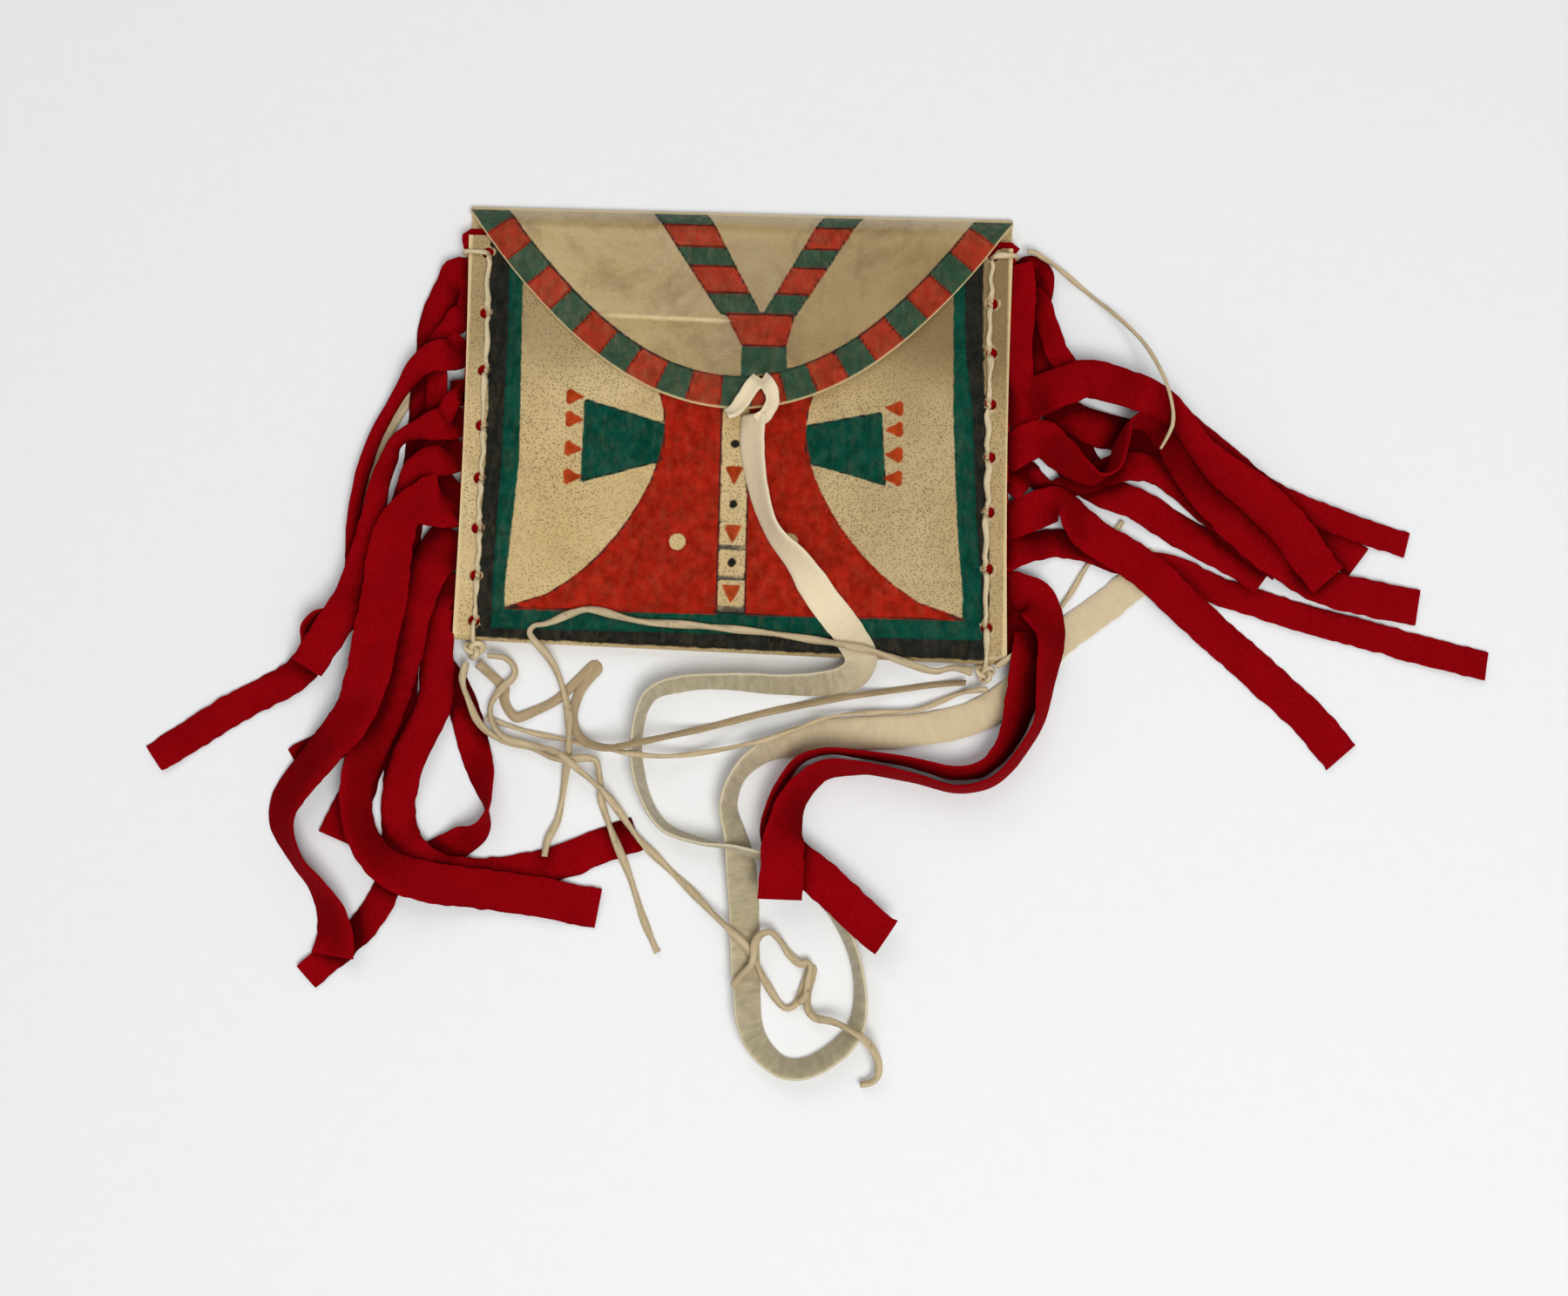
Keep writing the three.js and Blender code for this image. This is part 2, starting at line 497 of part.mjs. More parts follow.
// A flat strip through laid samples
function strip(path, width, thickness) {
  const rings = path.map((p, i) => {
    const next = path[Math.min(i + 1, path.length - 1)];
    const last = path[Math.max(i - 1, 0)];
    const along = new THREE.Vector3(next.x - last.x, next.y - last.y, next.z - last.z).normalize();
    const side = new THREE.Vector3(p.sideX, p.sideY, 0);
    const up = along.clone().cross(side).normalize();
    const across = side.clone().multiplyScalar(Math.cos(p.tilt)).addScaledVector(up, Math.sin(p.tilt));
    const normal = along.clone().cross(across).normalize();
    const centre = new THREE.Vector3(p.x, p.y, p.z);
    return [[1, 1], [-1, 1], [-1, -1], [1, -1]].map(([s, n]) => centre.clone()
      .addScaledVector(across, (s * p.share * width) / 2)
      .addScaledVector(normal, (n * thickness) / 2));
  });
  return sweep(rings);
}

// A tube through ring centres that lie in one plane
function planeTube(centres, planeNormal, diameter) {
  const sides = 6;
  const rings = centres.map((centre, i) => {
    const next = centres[Math.min(i + 1, centres.length - 1)];
    const last = centres[Math.max(i - 1, 0)];
    const along = next.clone().sub(last).normalize();
    const out = planeNormal.clone().cross(along).normalize();
    return steps(sides).slice(0, -1).map((share) => {
      const angle = 2 * Math.PI * share;
      return centre.clone()
        .addScaledVector(out, (diameter / 2) * Math.cos(angle))
        .addScaledVector(planeNormal, (diameter / 2) * Math.sin(angle));
    });
  });
  return solidOf(sweep(rings));
}

// Cloth fringe of one side: a header in the seam and the strands that leave it
function headerMid(x, y) {
  return backMid(x, y) + RAWHIDE / 2 + CLEARANCE + CLOTH / 2;
}

function headerSpan(side) {
  return { top: MOUTH_Y + HEADER_ABOVE_MOUTH, low: bottomY(side * HALF) + HEADER_ABOVE_BOTTOM };
}

function header(side) {
  const span = headerSpan(side);
  const rows = [
    ...steps(7).map((share) => mix(span.low, SETTLE_Y, share)),
    ...steps(2).slice(1).map((share) => mix(SETTLE_Y, span.top, share)),
  ];
  const grid = steps(3).map((share) => {
    const x = mix(HALF - HEADER_DEPTH, HALF, side > 0 ? share : 1 - share) * side;
    return rows.map((y) => new THREE.Vector3(x, y, headerMid(x, y)));
  });
  return punchHoles(solidOf(sheet(grid, CLOTH)), side);
}

// The strands share the seam between them in proportion to their widths, with a slit below each
function strandRoots(side, strands) {
  const first = holeRow(side)[0] - LACE_DIAMETER / 2 - 2 * CLEARANCE - SLIT / 2;
  const room = first - headerSpan(side).low - strands.length * SLIT;
  const total = strands.reduce((sum, strand) => sum + strand.width, 0);
  const roots = new Map();
  let y = first;
  for (const strand of [...strands].sort((a, b) => a.root - b.root)) {
    const width = (room * strand.width) / total;
    roots.set(strand.root, { rootY: y - (SLIT + width) / 2, width });
    y -= SLIT + width;
  }
  return roots;
}

function fringe(side) {
  const strands = side < 0 ? LEFT_STRANDS : RIGHT_STRANDS;
  const roots = strandRoots(side, strands);
  return geometryOf(strands.reduce((cloth, strand) => {
    const { rootY, width } = roots.get(strand.root);
    const route = strand.route.map(([out, up, ...roll]) => [side * (HALF + out), rootY + up, ...roll]);
    route.unshift([side * (HALF + CLOTH), rootY, 0]);
    const path = lay(route, {
      width,
      thickness: STRAND_CLOTH,
      stride: 10,
      slope: STRAND_SLOPE,
      startZ: headerMid(HALF, rootY),
      run: ROOT_RUN,
    });
    Object.assign(path[0], { sideX: 0, sideY: side });
    path.unshift({ ...path[0], x: side * (HALF - ROOT_INSET) });
    return cloth.add(solidOf(strip(path, width, STRAND_CLOTH)));
  }, header(side)));
}

// Seam lacing: stitches on the front and the back, a wrap over the side edge and a knot at the bottom corner
const RIM_REACH = (HOLE_DIAMETER + LACE_DIAMETER) / 4;

// Round the rim of a hole, from inside the hole to the run on the face
function rise(hole, away, face, outward) {
  const rim = hole + away * (HOLE_DIAMETER / 2);
  return [Math.PI / 8, (3 * Math.PI) / 8].map((angle) => [
    rim - away * RIM_REACH * Math.cos(angle),
    face + outward * RIM_REACH * Math.sin(angle),
  ]);
}

function lacing(side) {
  const x = side * HOLE_X;
  const holes = holeRow(side);
  const lift = LACE_DIAMETER / 2 + CLEARANCE;
  const seamPlane = new THREE.Vector3(1, 0, 0);
  const crossPlane = new THREE.Vector3(0, 1, 0);
  const front = (y) => frontMid(x, y) + RAWHIDE / 2;
  const back = (y) => backMid(x, y) - RAWHIDE / 2;
  const inSeam = (places, aside) => planeTube(
    places.map(([y, z]) => new THREE.Vector3(x + aside, y, z)),
    seamPlane,
    LACE_DIAMETER,
  );
  const top = holes[0];
  const low = holes[holes.length - 1];
  const running = [0, 1].map((parity) => {
    const inner = (parity - 0.5) * CLEARANCE;
    const places = [[top, headerMid(x, top) + inner]];
    for (let i = 0; i < holes.length - 1; i += 1) {
      const outward = i % 2 === parity ? 1 : -1;
      const face = outward > 0 ? front : back;
      places.push(...rise(holes[i], -1, face(holes[i]), outward));
      places.push(...rise(holes[i + 1], 1, face(holes[i + 1]), outward).reverse());
    }
    places.push([low, headerMid(x, low) + inner]);
    return inSeam(places, inner);
  });
  const wrap = [
    [x, headerMid(x, top) - CLEARANCE],
    ...rise(x, side, front(top), 1),
    ...corner(side * HALF, side, front(top), 1, lift),
    ...corner(side * HALF, side, back(top), -1, lift).reverse(),
    ...rise(x, side, back(top), -1).reverse(),
    [x, headerMid(x, top) + CLEARANCE],
  ].map(([px, z]) => new THREE.Vector3(px, top, z));
  const bend = fold(x);
  const reach = bend.radius + RAWHIDE / 2 + lift;
  const round = [
    [low, headerMid(x, low) - CLEARANCE],
    ...rise(low, -1, front(low), 1),
    ...steps(4).map((share) => {
      const angle = Math.PI * (0.5 + share);
      return [bend.y + reach * Math.cos(angle), bend.z + reach * Math.sin(angle)];
    }),
    ...rise(low, -1, back(low), -1).reverse(),
    [low, headerMid(x, low) + CLEARANCE],
  ];
  const knot = new THREE.SphereGeometry(KNOT_DIAMETER / 2, 8, 6);
  knot.translate(x, knotY(side), bend.z);
  const wrapped = planeTube(wrap, crossPlane, LACE_DIAMETER);
  const plugs = [top, low].map((y) => post(
    x, y, (front(y) + back(y)) / 2, HOLE_DIAMETER - 2 * CLEARANCE, front(y) - back(y) - RAWHIDE, 12,
  ));
  const runs = [...running, ...plugs, wrapped, inSeam(round, 0)];
  return geometryOf(runs.reduce((all, run) => all.add(run), solidOf(knot)));
}

// Round an outer edge of the sheet at an even distance
function corner(edge, away, face, outward, distance) {
  return [Math.PI / 2, Math.PI / 4, 0].map((angle) => [
    edge + away * distance * Math.cos(angle),
    face + outward * distance * Math.sin(angle),
  ]);
}

function knotY(side) {
  const bend = fold(side * HOLE_X);
  return bend.y - bend.radius - RAWHIDE / 2 - CLEARANCE - KNOT_DIAMETER / 2;
}

// Tie: a thong looped through the flap, and its long tail
function tieKnot() {
  const over = CLEARANCE + (RAWHIDE + TIE_THICKNESS) / 2;
  const leg = (points) => {
    const path = samples(points, 3);
    for (const p of path) {
      const below = [-1, 0, 1].map((share) => {
        const aside = (share * TIE_LEG_WIDTH) / 2;
        return flapMid(p.x + p.sideX * aside, Math.max(p.y + p.sideY * aside, TIP_Y));
      });
      p.z = Math.max(...below) + over - Math.max(0, TIP_Y - p.y) * LEG_DROOP;
    }
    return solidOf(strip(path, TIE_LEG_WIDTH, TIE_THICKNESS));
  };
  const fromHole = (points) => points.map(([x, y]) => [TIE_HOLE_X + x, TIE_HOLE_Y + y]);
  const left = leg(fromHole(TIE_LEFT_LEG));
  const right = leg(fromHole(TIE_RIGHT_LEG));
  const surface = flapMid(TIE_HOLE_X, TIE_HOLE_Y);
  const plugTop = surface + over;
  const plugLow = surface - over;
  const plug = post(TIE_HOLE_X, TIE_HOLE_Y, (plugTop + plugLow) / 2, TIE_PLUG_DIAMETER, plugTop - plugLow, 10);
  const path = samples(fromHole(TIE_BAR), 3);
  for (const p of path) p.z = flapMid(p.x, p.y) - over;
  const under = solidOf(strip(path, TIE_LEG_WIDTH, TIE_THICKNESS));
  return geometryOf(plug.add(left).add(right).add(under));
}

function tieTail() {
  const path = lay(TIE_ROUTE.map(([x, y, tilt]) => [x, y, -tilt]).reverse(), {
    width: TIE_WIDTH, thickness: TIE_THICKNESS, stride: 10, slope: TAIL_SLOPE, overEnvelope: true,
  });
  return strip(path, TIE_WIDTH, TIE_THICKNESS);
}

function looseCord({ route, diameter, knot }) {
  const startZ = knot === 0 ? null : fold(knot * HOLE_X).z;
  const path = lay(route, {
    width: diameter,
    thickness: diameter,
    stride: 8,
    slope: CORD_SLOPE,
    overEnvelope: true,
    startZ,
    run: KNOT_RUN,
  });
  const curve = new THREE.CatmullRomCurve3(path.map((p) => new THREE.Vector3(p.x, p.y, p.z)));
  const section = new THREE.Shape(steps(8).slice(0, -1).map((share) => new THREE.Vector2(
    (diameter / 2) * Math.cos(2 * Math.PI * share),
    (diameter / 2) * Math.sin(2 * Math.PI * share),
  )));
  const sweepOptions = { steps: path.length - 1, extrudePath: curve, bevelEnabled: false };
  return new THREE.ExtrudeGeometry(section, sweepOptions);
}

const group = new THREE.Group();

function place(name, geometry, color, roughness) {
  const material = new THREE.MeshStandardMaterial({ color, roughness, metalness: 0 });
  const mesh = new THREE.Mesh(geometry, material);
  mesh.name = name;
  group.add(mesh);
}

place('rawhide_envelope', rawhideEnvelope(), RAWHIDE_COLOUR, 0.5);
place('flap', flapPanel(), RAWHIDE_COLOUR, 0.45);
place('left_lace', lacing(-1), LACE_COLOUR, 0.7);
place('right_lace', lacing(1), LACE_COLOUR, 0.7);
place('tie_knot', tieKnot(), BUCKSKIN_COLOUR, 0.9);
place('tie_tail', tieTail(), BUCKSKIN_COLOUR, 0.9);
for (const cord of UNDER_CORDS) place(cord.name, looseCord(cord), LACE_COLOUR, 0.75);
place('left_fringe', fringe(-1), WOOL_COLOUR, 0.95);
place('right_fringe', fringe(1), WOOL_COLOUR, 0.95);
for (const cord of CORDS) place(cord.name, looseCord(cord), LACE_COLOUR, 0.75);

export default group;
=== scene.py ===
"""Painted rawhide envelope with a creased flap, laced seams, cloth fringe and a thong tie."""

import math
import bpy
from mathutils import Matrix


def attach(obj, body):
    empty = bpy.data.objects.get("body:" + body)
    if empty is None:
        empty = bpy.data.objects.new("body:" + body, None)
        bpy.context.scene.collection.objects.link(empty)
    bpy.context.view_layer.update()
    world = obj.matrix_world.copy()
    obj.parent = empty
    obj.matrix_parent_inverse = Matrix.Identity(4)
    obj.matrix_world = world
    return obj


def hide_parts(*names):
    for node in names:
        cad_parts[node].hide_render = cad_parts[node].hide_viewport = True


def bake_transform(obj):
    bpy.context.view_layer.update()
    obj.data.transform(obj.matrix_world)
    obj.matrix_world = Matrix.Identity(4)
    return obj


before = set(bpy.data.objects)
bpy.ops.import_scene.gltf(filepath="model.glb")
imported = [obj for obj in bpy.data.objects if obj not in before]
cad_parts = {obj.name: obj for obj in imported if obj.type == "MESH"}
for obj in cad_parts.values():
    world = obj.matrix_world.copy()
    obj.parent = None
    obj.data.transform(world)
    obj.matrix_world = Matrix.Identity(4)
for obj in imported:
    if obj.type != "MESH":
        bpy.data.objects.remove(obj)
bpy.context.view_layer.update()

from types import SimpleNamespace

import bpy
import numpy as np
from bpy.props import FloatProperty, FloatVectorProperty, PointerProperty
from mathutils import Matrix, Vector

bl_info = {
    "name": "Painted rawhide envelope",
    "version": (1, 0, 0),
    "blender": (4, 5, 0),
    "location": "View3D > Sidebar > Envelope",
    "description": "Builds a painted rawhide envelope with fringe, lacing and a thong tie",
    "category": "Add Mesh",
}

MM = 0.001

# Strand routes in millimetres: out from the side edge, up from the strand's own root, the tilt in degrees if
# it isn't 0, and where the cloth is gathered, the share of its width that it still spans. Each strand has the
# number of its root from the top and its width, and lies over the strands before it.
LEFT_STRANDS = [
    (1, 11.6, [(2.5, 0, 0, 1.22), (5, -2, 0, 0.92), (7.5, -5, 3, 0.68), (9.5, -9, 10, 0.6),
        (10.5, -14, 15, 0.62), (10.5, -20, 18, 0.65), (11, -26, 18, 0.65), (11.5, -32.5, 15, 0.65),
        (12, -41, 12, 0.65), (12.5, -48.5, 8, 0.65), (13.5, -57, 0, 0.68), (15.5, -68, 0, 0.85),
        (16.5, -77.5), (16.5, -89.5), (17.5, -109), (21, -123.5)]),
    (2, 7.8, [(2.5, -1, 0, 0.98), (5, -3, 0, 0.68), (7.5, -5.5, 5, 0.5), (8.5, -9, 15, 0.55),
        (7.5, -15, 20, 0.75), (7, -22.5, 20, 0.85), (8, -30.5, 15, 0.85), (9.5, -39, 10, 0.85),
        (11.5, -49, 0, 0.9), (14, -59), (15.5, -70), (14, -86.5), (13.5, -101), (14.5, -122.5),
        (14.5, -139.5), (14.5, -153.5, 10), (20, -166), (28, -175), (37, -183)]),
    (4, 9.5, [(1, -3.5, 0, 0.52), (3, -7, 0, 0.52), (5, -11.5, 0, 0.54), (7, -17.5, 0, 0.6),
        (10, -26, 0, 0.7), (14.5, -36.5, 0, 0.85), (18, -54), (20, -76), (23.5, -90.5), (31.5, -100),
        (42.5, -106.5)]),
    (6, 9.5, [(3.5, -1.5, 0, 0.95), (8, -2.5, 0, 0.9), (12, -4.5, -4, 0.72), (14, -8.5, -8, 0.6),
        (16, -17, -8, 0.68), (17.5, -29, -5, 0.85), (17, -43.5), (17, -58), (20, -77), (25.5, -94),
        (31, -106.5)]),
    (10, 8.6, [(5.5, -4), (5.5, -12), (-1.5, -23), (-5.5, -34), (-9, -44.5, 35), (-11, -53, 75),
        (-9.5, -59, 115), (-4.5, -62.5, 155), (3, -66.5, 180), (10, -69.5, 180)]),
    (9, 9.6, [(2.5, -4), (4, -9.5, 15), (4.5, -18.5, 12), (4.5, -33), (8.5, -44), (12.5, -54.5),
        (13.5, -65.5), (10.5, -74), (2.5, -80), (-8, -81.5), (-21, -80), (-33, -76.5), (-42.5, -72.5),
        (-52, -69)]),
    (3, 8.7, [(3.5, -2, 0, 1.08), (9, -3.5, 0, 0.92), (13, -6.5, -8, 0.7), (17.5, -12.5, -20, 0.45),
        (21, -18.5, -28, 0.42), (24, -25, -36, 0.45), (26.5, -33, -42, 0.5), (28, -40.5, -42, 0.5),
        (29, -49.5, -42, 0.5), (28.5, -58.5, -38, 0.58), (28, -65, -42, 0.75), (29, -71.5, -60, 0.95),
        (32.5, -74.5, -78), (37.5, -75.5, -84), (40.5, -79, -84), (39.5, -84, -70), (40.5, -89, -30),
        (46.5, -94), (55, -98.5), (64, -104), (81.5, -116)]),
    (5, 9.9, [(3, -1.5, 0, 1), (7.5, -3, -2, 0.82), (12, -4, -6, 0.54), (16, -5.5, -14, 0.42),
        (18.5, -8, -24, 0.42), (19.5, -11.5, -28, 0.52), (21, -17, -25, 0.56), (22, -23.5, -22, 0.62),
        (23, -32.5, -18, 0.8), (25, -42, -12, 0.95), (28, -52, -5), (33, -60.5), (39, -70.5)]),
    (8, 10.9, [(1.5, -0.5, 0, 1.35), (4.5, -4, 0, 1.15), (8, -10.5), (11, -20, -5), (13.5, -32.5, -10),
        (17.5, -47, -15), (22, -60, -35), (24.5, -70.5, -50), (22.5, -81, -50), (16, -89.5, -35),
        (5, -94, -15), (-12, -96), (-27.5, -98), (-42, -100.5)]),
    (7, 12.3, [(4, -2, 0, 1.25), (8, -2.5, 0, 1.1), (13.5, -5, -4, 0.8), (16.5, -11, -6, 0.9), (18, -20, -6),
        (18.5, -29.5, -4), (20.5, -41.5), (23, -54, 8), (26, -63, 20), (33, -71.5, 28), (42, -82, 35),
        (44.5, -90.5, 45), (40, -101, 65), (34.5, -107.5, 62), (30.5, -114, 45), (29, -120.5, 30),
        (29.5, -127, 15)]),
]
RIGHT_STRANDS = [
    (11, 10.6, [(6.5, 2), (6.5, -4.5, -8), (5, -14.5, -22), (3, -23.5, -38), (-0.5, -31.5, -58),
        (-6, -37, -68), (-13.5, -38.5, -72), (-21, -37, -78), (-28, -35.5, -82), (-40, -34, -84),
        (-49, -33.5, -84), (-56.5, -36.5, -80), (-61, -43.5, -75), (-62.5, -50.5, -62), (-61.5, -57, -35),
        (-57, -62.5, -8), (-48, -69.5), (-35.5, -80.5), (-31.5, -83.5)]),
    (10, 11.8, [(7, -2), (9.5, -6, -22), (11.5, -12, -42), (11, -21.5, -55), (9.5, -34, -70), (6, -41.5, -75),
        (0.5, -49, -76), (-5, -53, -80), (-13.5, -54.5, -84), (-24, -52, -82), (-34.5, -50, -80),
        (-39.5, -49.5, -76), (-48.5, -50, -64), (-54, -54, -58), (-58, -60, -48), (-59.5, -66.5, -35),
        (-60, -73, -10), (-60.5, -85.5)]),
    (1, 7.6, [(5, 3.5), (8.5, 2, 15, 0.85), (9, -2.5, 25, 0.75), (7.5, -9, 15, 0.75), (8.5, -19, 0, 0.85),
        (13, -28.5), (17, -38.5), (20.5, -48), (27, -57.5), (39.5, -63.5)]),
    (9, 8.0, [(8, 3), (15, 4), (23, 2.5), (34.5, -1), (47, -3), (57.5, -7.5), (68.5, -11), (82, -15),
        (98.5, -19), (117, -23.5), (133, -27)]),
    (4, 9.0, [(6, 4), (10, 3.5, 5), (13.5, 0.5, 18, 0.8), (13.5, -7.5, 15, 0.72), (15, -17.5, 5, 0.8),
        (18.5, -26.5), (26, -32), (36.5, -36), (47, -42), (57, -47.5), (65.5, -52), (71, -56)]),
    (3, 9.7, [(5, 3), (7.5, -2, 20, 0.75), (7.5, -9.5, 18, 0.72), (12, -18.5, 5, 0.9), (21, -23.5), (33, -26),
        (45, -29.5), (58, -36), (70.5, -43.5), (82.5, -50.5), (91.5, -55.5), (97.5, -60)]),
    (2, 7.0, [(5, 3), (8, -1, 12, 0.9), (10.5, -8.5, 18, 0.85), (12.5, -14.5, 12, 0.9), (17.5, -19.5, 5),
        (28, -21.5, 5), (41.5, -25.5, 5), (50.5, -32.5, 5), (60.5, -40.5, 5), (70.5, -48.5), (80.5, -53.5),
        (87, -56), (98.5, -60), (111, -63.5)]),
    (7, 8.2, [(5, 4, 5, 0.9), (7.5, 2.5, 20, 0.65), (11.5, -0.5, 16, 0.65), (18.5, 1, 5, 0.85), (31.5, 6),
        (40, 6), (46.5, 2.5), (53.5, -3.5), (61, -10), (68.5, -16.5), (75.5, -21)]),
    (6, 10.2, [(8.5, 3.5, 10), (13.5, -0.5, 40), (19.5, -6, 65), (24, -8, 85), (28, -5, 105), (30, 1.5, 105),
        (32, 7, 90), (35, 9, 75), (39, 8.5, 62), (43, 4.5, 50), (48, -2.5, 40), (54, -10, 25),
        (62, -18.5, 10), (73, -27.5), (88.5, -35.5), (98.5, -38), (114, -40.5)]),
    (5, 11.2, [(8, 4, -5), (14, 6, -10), (19.5, 8, -8), (25.5, 7.5, 5, 0.95), (32, 5, 12, 0.9),
        (40, 1.5, 20, 0.8), (46, -3.5, 25, 0.65), (51.5, -10.5, 22, 0.65), (58.5, -16.5, 14, 0.85),
        (68, -23, 5), (76.5, -30.5), (82.5, -38), (88.5, -45)]),
    (8, 10.4, [(10.5, 4, -5), (15, 4.5, -40), (18.5, 0.5, -25), (23, -3.5), (34, -10), (41.5, -15.5),
        (50.5, -23.5), (63, -34), (75, -44.5), (85, -53.5), (93, -63)]),
]
# Uncut cloth that folds down along the top of the right seam: width, then steps out of the seam, heights
# and tilts. It lies over the strands before the one named.
RIGHT_BAND = (7.2, [(2, 48, 20), (2.5, 43.5, 20), (2.5, 36, 20), (2, 25, 20), (2.5, 15, 20), (3, 8.5, 16),
    (4, 4.5, 10)])
BAND_UNDER = 7

# Cord routes in millimetres, from the object outwards. The tie's has tilts. A loose lace has its kind and the
# side of the knot that it comes from, or 0.
TIE_ROUTE = [
    (5, 3, 40), (5, -6, 45), (7, -18, 60), (11, -29, 70), (18, -37, 45), (25, -47, 10), (33, -57, 0),
    (36, -64, -15), (31, -69, -40), (16, -70.5, -60), (0, -70, -66), (-13, -71, -64), (-22, -75, -70),
    (-25, -87, -75), (-23, -100, -76), (-17, -110, -78), (-7, -114, -84), (4, -116, -96), (18, -121, -104),
    (30, -132, -108), (37, -147, -106), (37, -163, -112), (27, -173, -124), (17, -174, -128), (9, -165, -138),
    (7, -150, -146), (6, -134, -150), (5, -122, -150), (3, -112, -130), (1, -104, -118), (4, -95, -112),
    (13, -88, -130), (30, -84, -172), (51, -82, -180), (68, -78, -180), (82, -68, -180), (90, -57, -180),
    (104, -46, -180), (119, -33, -180),
]
LOOSE_LACES = [
    ("corner_lace_end", "sinew", 0, [(73, -64.5), (79.5, -59.5), (85.5, -54), (90.5, -48), (94.5, -42),
        (98.5, -35), (103, -29), (107, -24), (109, -21)]),
    ("right_sinew_end", "sinew", 1, [(71, -70.6), (64.3, -71.4), (51.3, -76.5), (29.8, -78.8), (10.8, -86),
        (-8.2, -90.1), (-22.5, -91.1), (-41.8, -87.8), (-56.2, -84.9), (-68.3, -81.3)]),
    ("corner_lace", "strip", -1, [(-69, -67), (-61.9, -73.5), (-62, -76.6), (-58.7, -81.3), (-54.5, -80),
        (-47.4, -76.2), (-41.2, -70.1), (-37.5, -66.4), (-36, -66.8), (-38.5, -69.8), (-41.3, -74.2),
        (-42.7, -81.4), (-39.9, -86.8), (-34.5, -89.1), (-28.6, -88.9), (-8.4, -83.6), (15.4, -77),
        (48.7, -70.6), (60, -69), (66.6, -68.8)]),
    ("right_lace_end", "lace", 1, [(66.5, -65.6), (61, -65), (55, -66), (39, -61.2), (14.8, -57.3),
        (-9.2, -55.3), (-24.9, -54.5), (-37.7, -51.7), (-43.7, -53), (-49.6, -55.6), (-54.4, -56.9),
        (-54.3, -59.3), (-51.8, -62.2), (-49.3, -65.2), (-47.2, -68.8), (-45.4, -73.8), (-44, -79),
        (-43.3, -85), (-43.3, -90.3), (-44.5, -99.4), (-45.8, -108.9), (-48.4, -114.9), (-49.2, -120.9)]),
    ("left_lace_end_a", "lace", -1, [(-72.2, -66.8), (-72.4, -67.8), (-73, -72.1), (-71.4, -76.9),
        (-68.8, -82.5), (-65.3, -86), (-60.4, -88.3), (-54.1, -89.3), (-49.3, -91.6), (-45.2, -92.7),
        (-39.2, -92.3), (-35.6, -92.9), (-34.2, -99.1), (-34, -103.8), (-31.4, -110.9), (-26.3, -122.6),
        (-21.1, -136.7), (-16.7, -146)]),
    ("left_lace_end_b", "lace", -1, [(-66.4, -64.8), (-61.2, -65.5), (-59, -68.6), (-60.1, -71.3),
        (-62.6, -73.5), (-64.9, -77.2), (-65.3, -80.1), (-64.2, -83.6), (-60.9, -87.1), (-53.7, -89.1),
        (-46.4, -90.8), (-39.6, -95.9), (-32.2, -102.4), (-23, -114.2), (-9.5, -126.9), (-2.2, -133.8),
        (5.2, -140.2), (8.6, -144.8), (12.6, -152.2), (16.5, -157.8), (19.4, -158.6), (21.7, -155.7),
        (23, -151.5), (24.3, -147.7), (25.5, -148.1), (24.7, -151.9), (23.8, -157.1), (25.6, -160.6),
        (32.2, -162), (40.2, -166.7), (43.4, -172.9), (42.5, -177.2), (38.8, -178.6)]),
    ("right_sinew_top", "sinew", 0, [(80, 52.5), (82.7, 51.8), (97.5, 41.8), (109.9, 28.5), (116.1, 16.3),
        (119.4, 4.1), (116.5, -3.8)]),
    ("left_sinew_top", "sinew", 0, [(-78, 40.5), (-84, 36.5), (-86, 28.5), (-86.5, 21), (-87.5, 14.5),
        (-90, 9.5), (-93, 5), (-96.5, -1.5), (-99, -8), (-101, -15), (-102.5, -23), (-103.5, -30),
        (-103, -37), (-101.5, -43.5)]),
    ("arch_lace", "lace", 0, [(21.5, -157), (23.5, -154.5), (24, -150), (24.5, -146.5), (21.5, -146.5),
        (18.5, -144), (16, -140.5), (13, -138), (10, -139.5), (9, -142.5), (8.5, -146.5), (5.5, -150),
        (2.5, -154)]),
]
ADDED_LACES = ("arch_lace", "corner_lace_end")
# Laces that lie just under a strand, by its side and root
LACES_UNDER = {(-1, 1): "left_sinew_top", (1, 11): "corner_lace_end"}

# Seeds of the random draws; the fringe and the lacing add their side, the loose laces their index
SHEET_SEED, FLAP_SEED, TIE_SEED, FRINGE_SEED, LACING_SEED, LOOSE_SEED = 4, 9, 11, 21, 31, 50

# Sizes in millimetres that the settings don't hold
CLEAR = 0.3  # between pieces that don't touch
SEAM_SLOPE = 14  # width over which the panels close towards a seam
POCKET_RISE = (3, 40)  # heights over the bottom fold where the pocket widens
THONG_LIFT = (8, 34)  # distances from the tie's hole where the thong's lift of the flap fades
FLAP_CORNER = 0.8  # the flap's corners below the crease's axis
BACK_SETTLES = 0.8  # the back panel starts to settle this far below the mouth
HOLES = 8  # in each seam
HOLE_ENDS = {-1: (14.6, 6.8, 0.18), 1: (11.9, 8.4, -0.11)}  # below the top, above the bottom, and bow
TIE_HOLE = (6.6, 7.3, 4.6)  # across, above the flap's tip, and diameter
HEADER_ENDS = (2.5, 3)  # the cloth header above the mouth and above the bottom
STRAND_LENGTH = 165  # the cloth's depth below its header, laid flat
STRAND_SLOPE, THONG_SLOPE, LACE_SLOPE = 0.45, 0.9, 0.5  # how steeply each comes down from what it lies on
LAY_STEP, LAY_GAP, LAY_EDGE = 0.8, 0.12, 0.6  # a laid strip's sample spacing, and room under and beside it
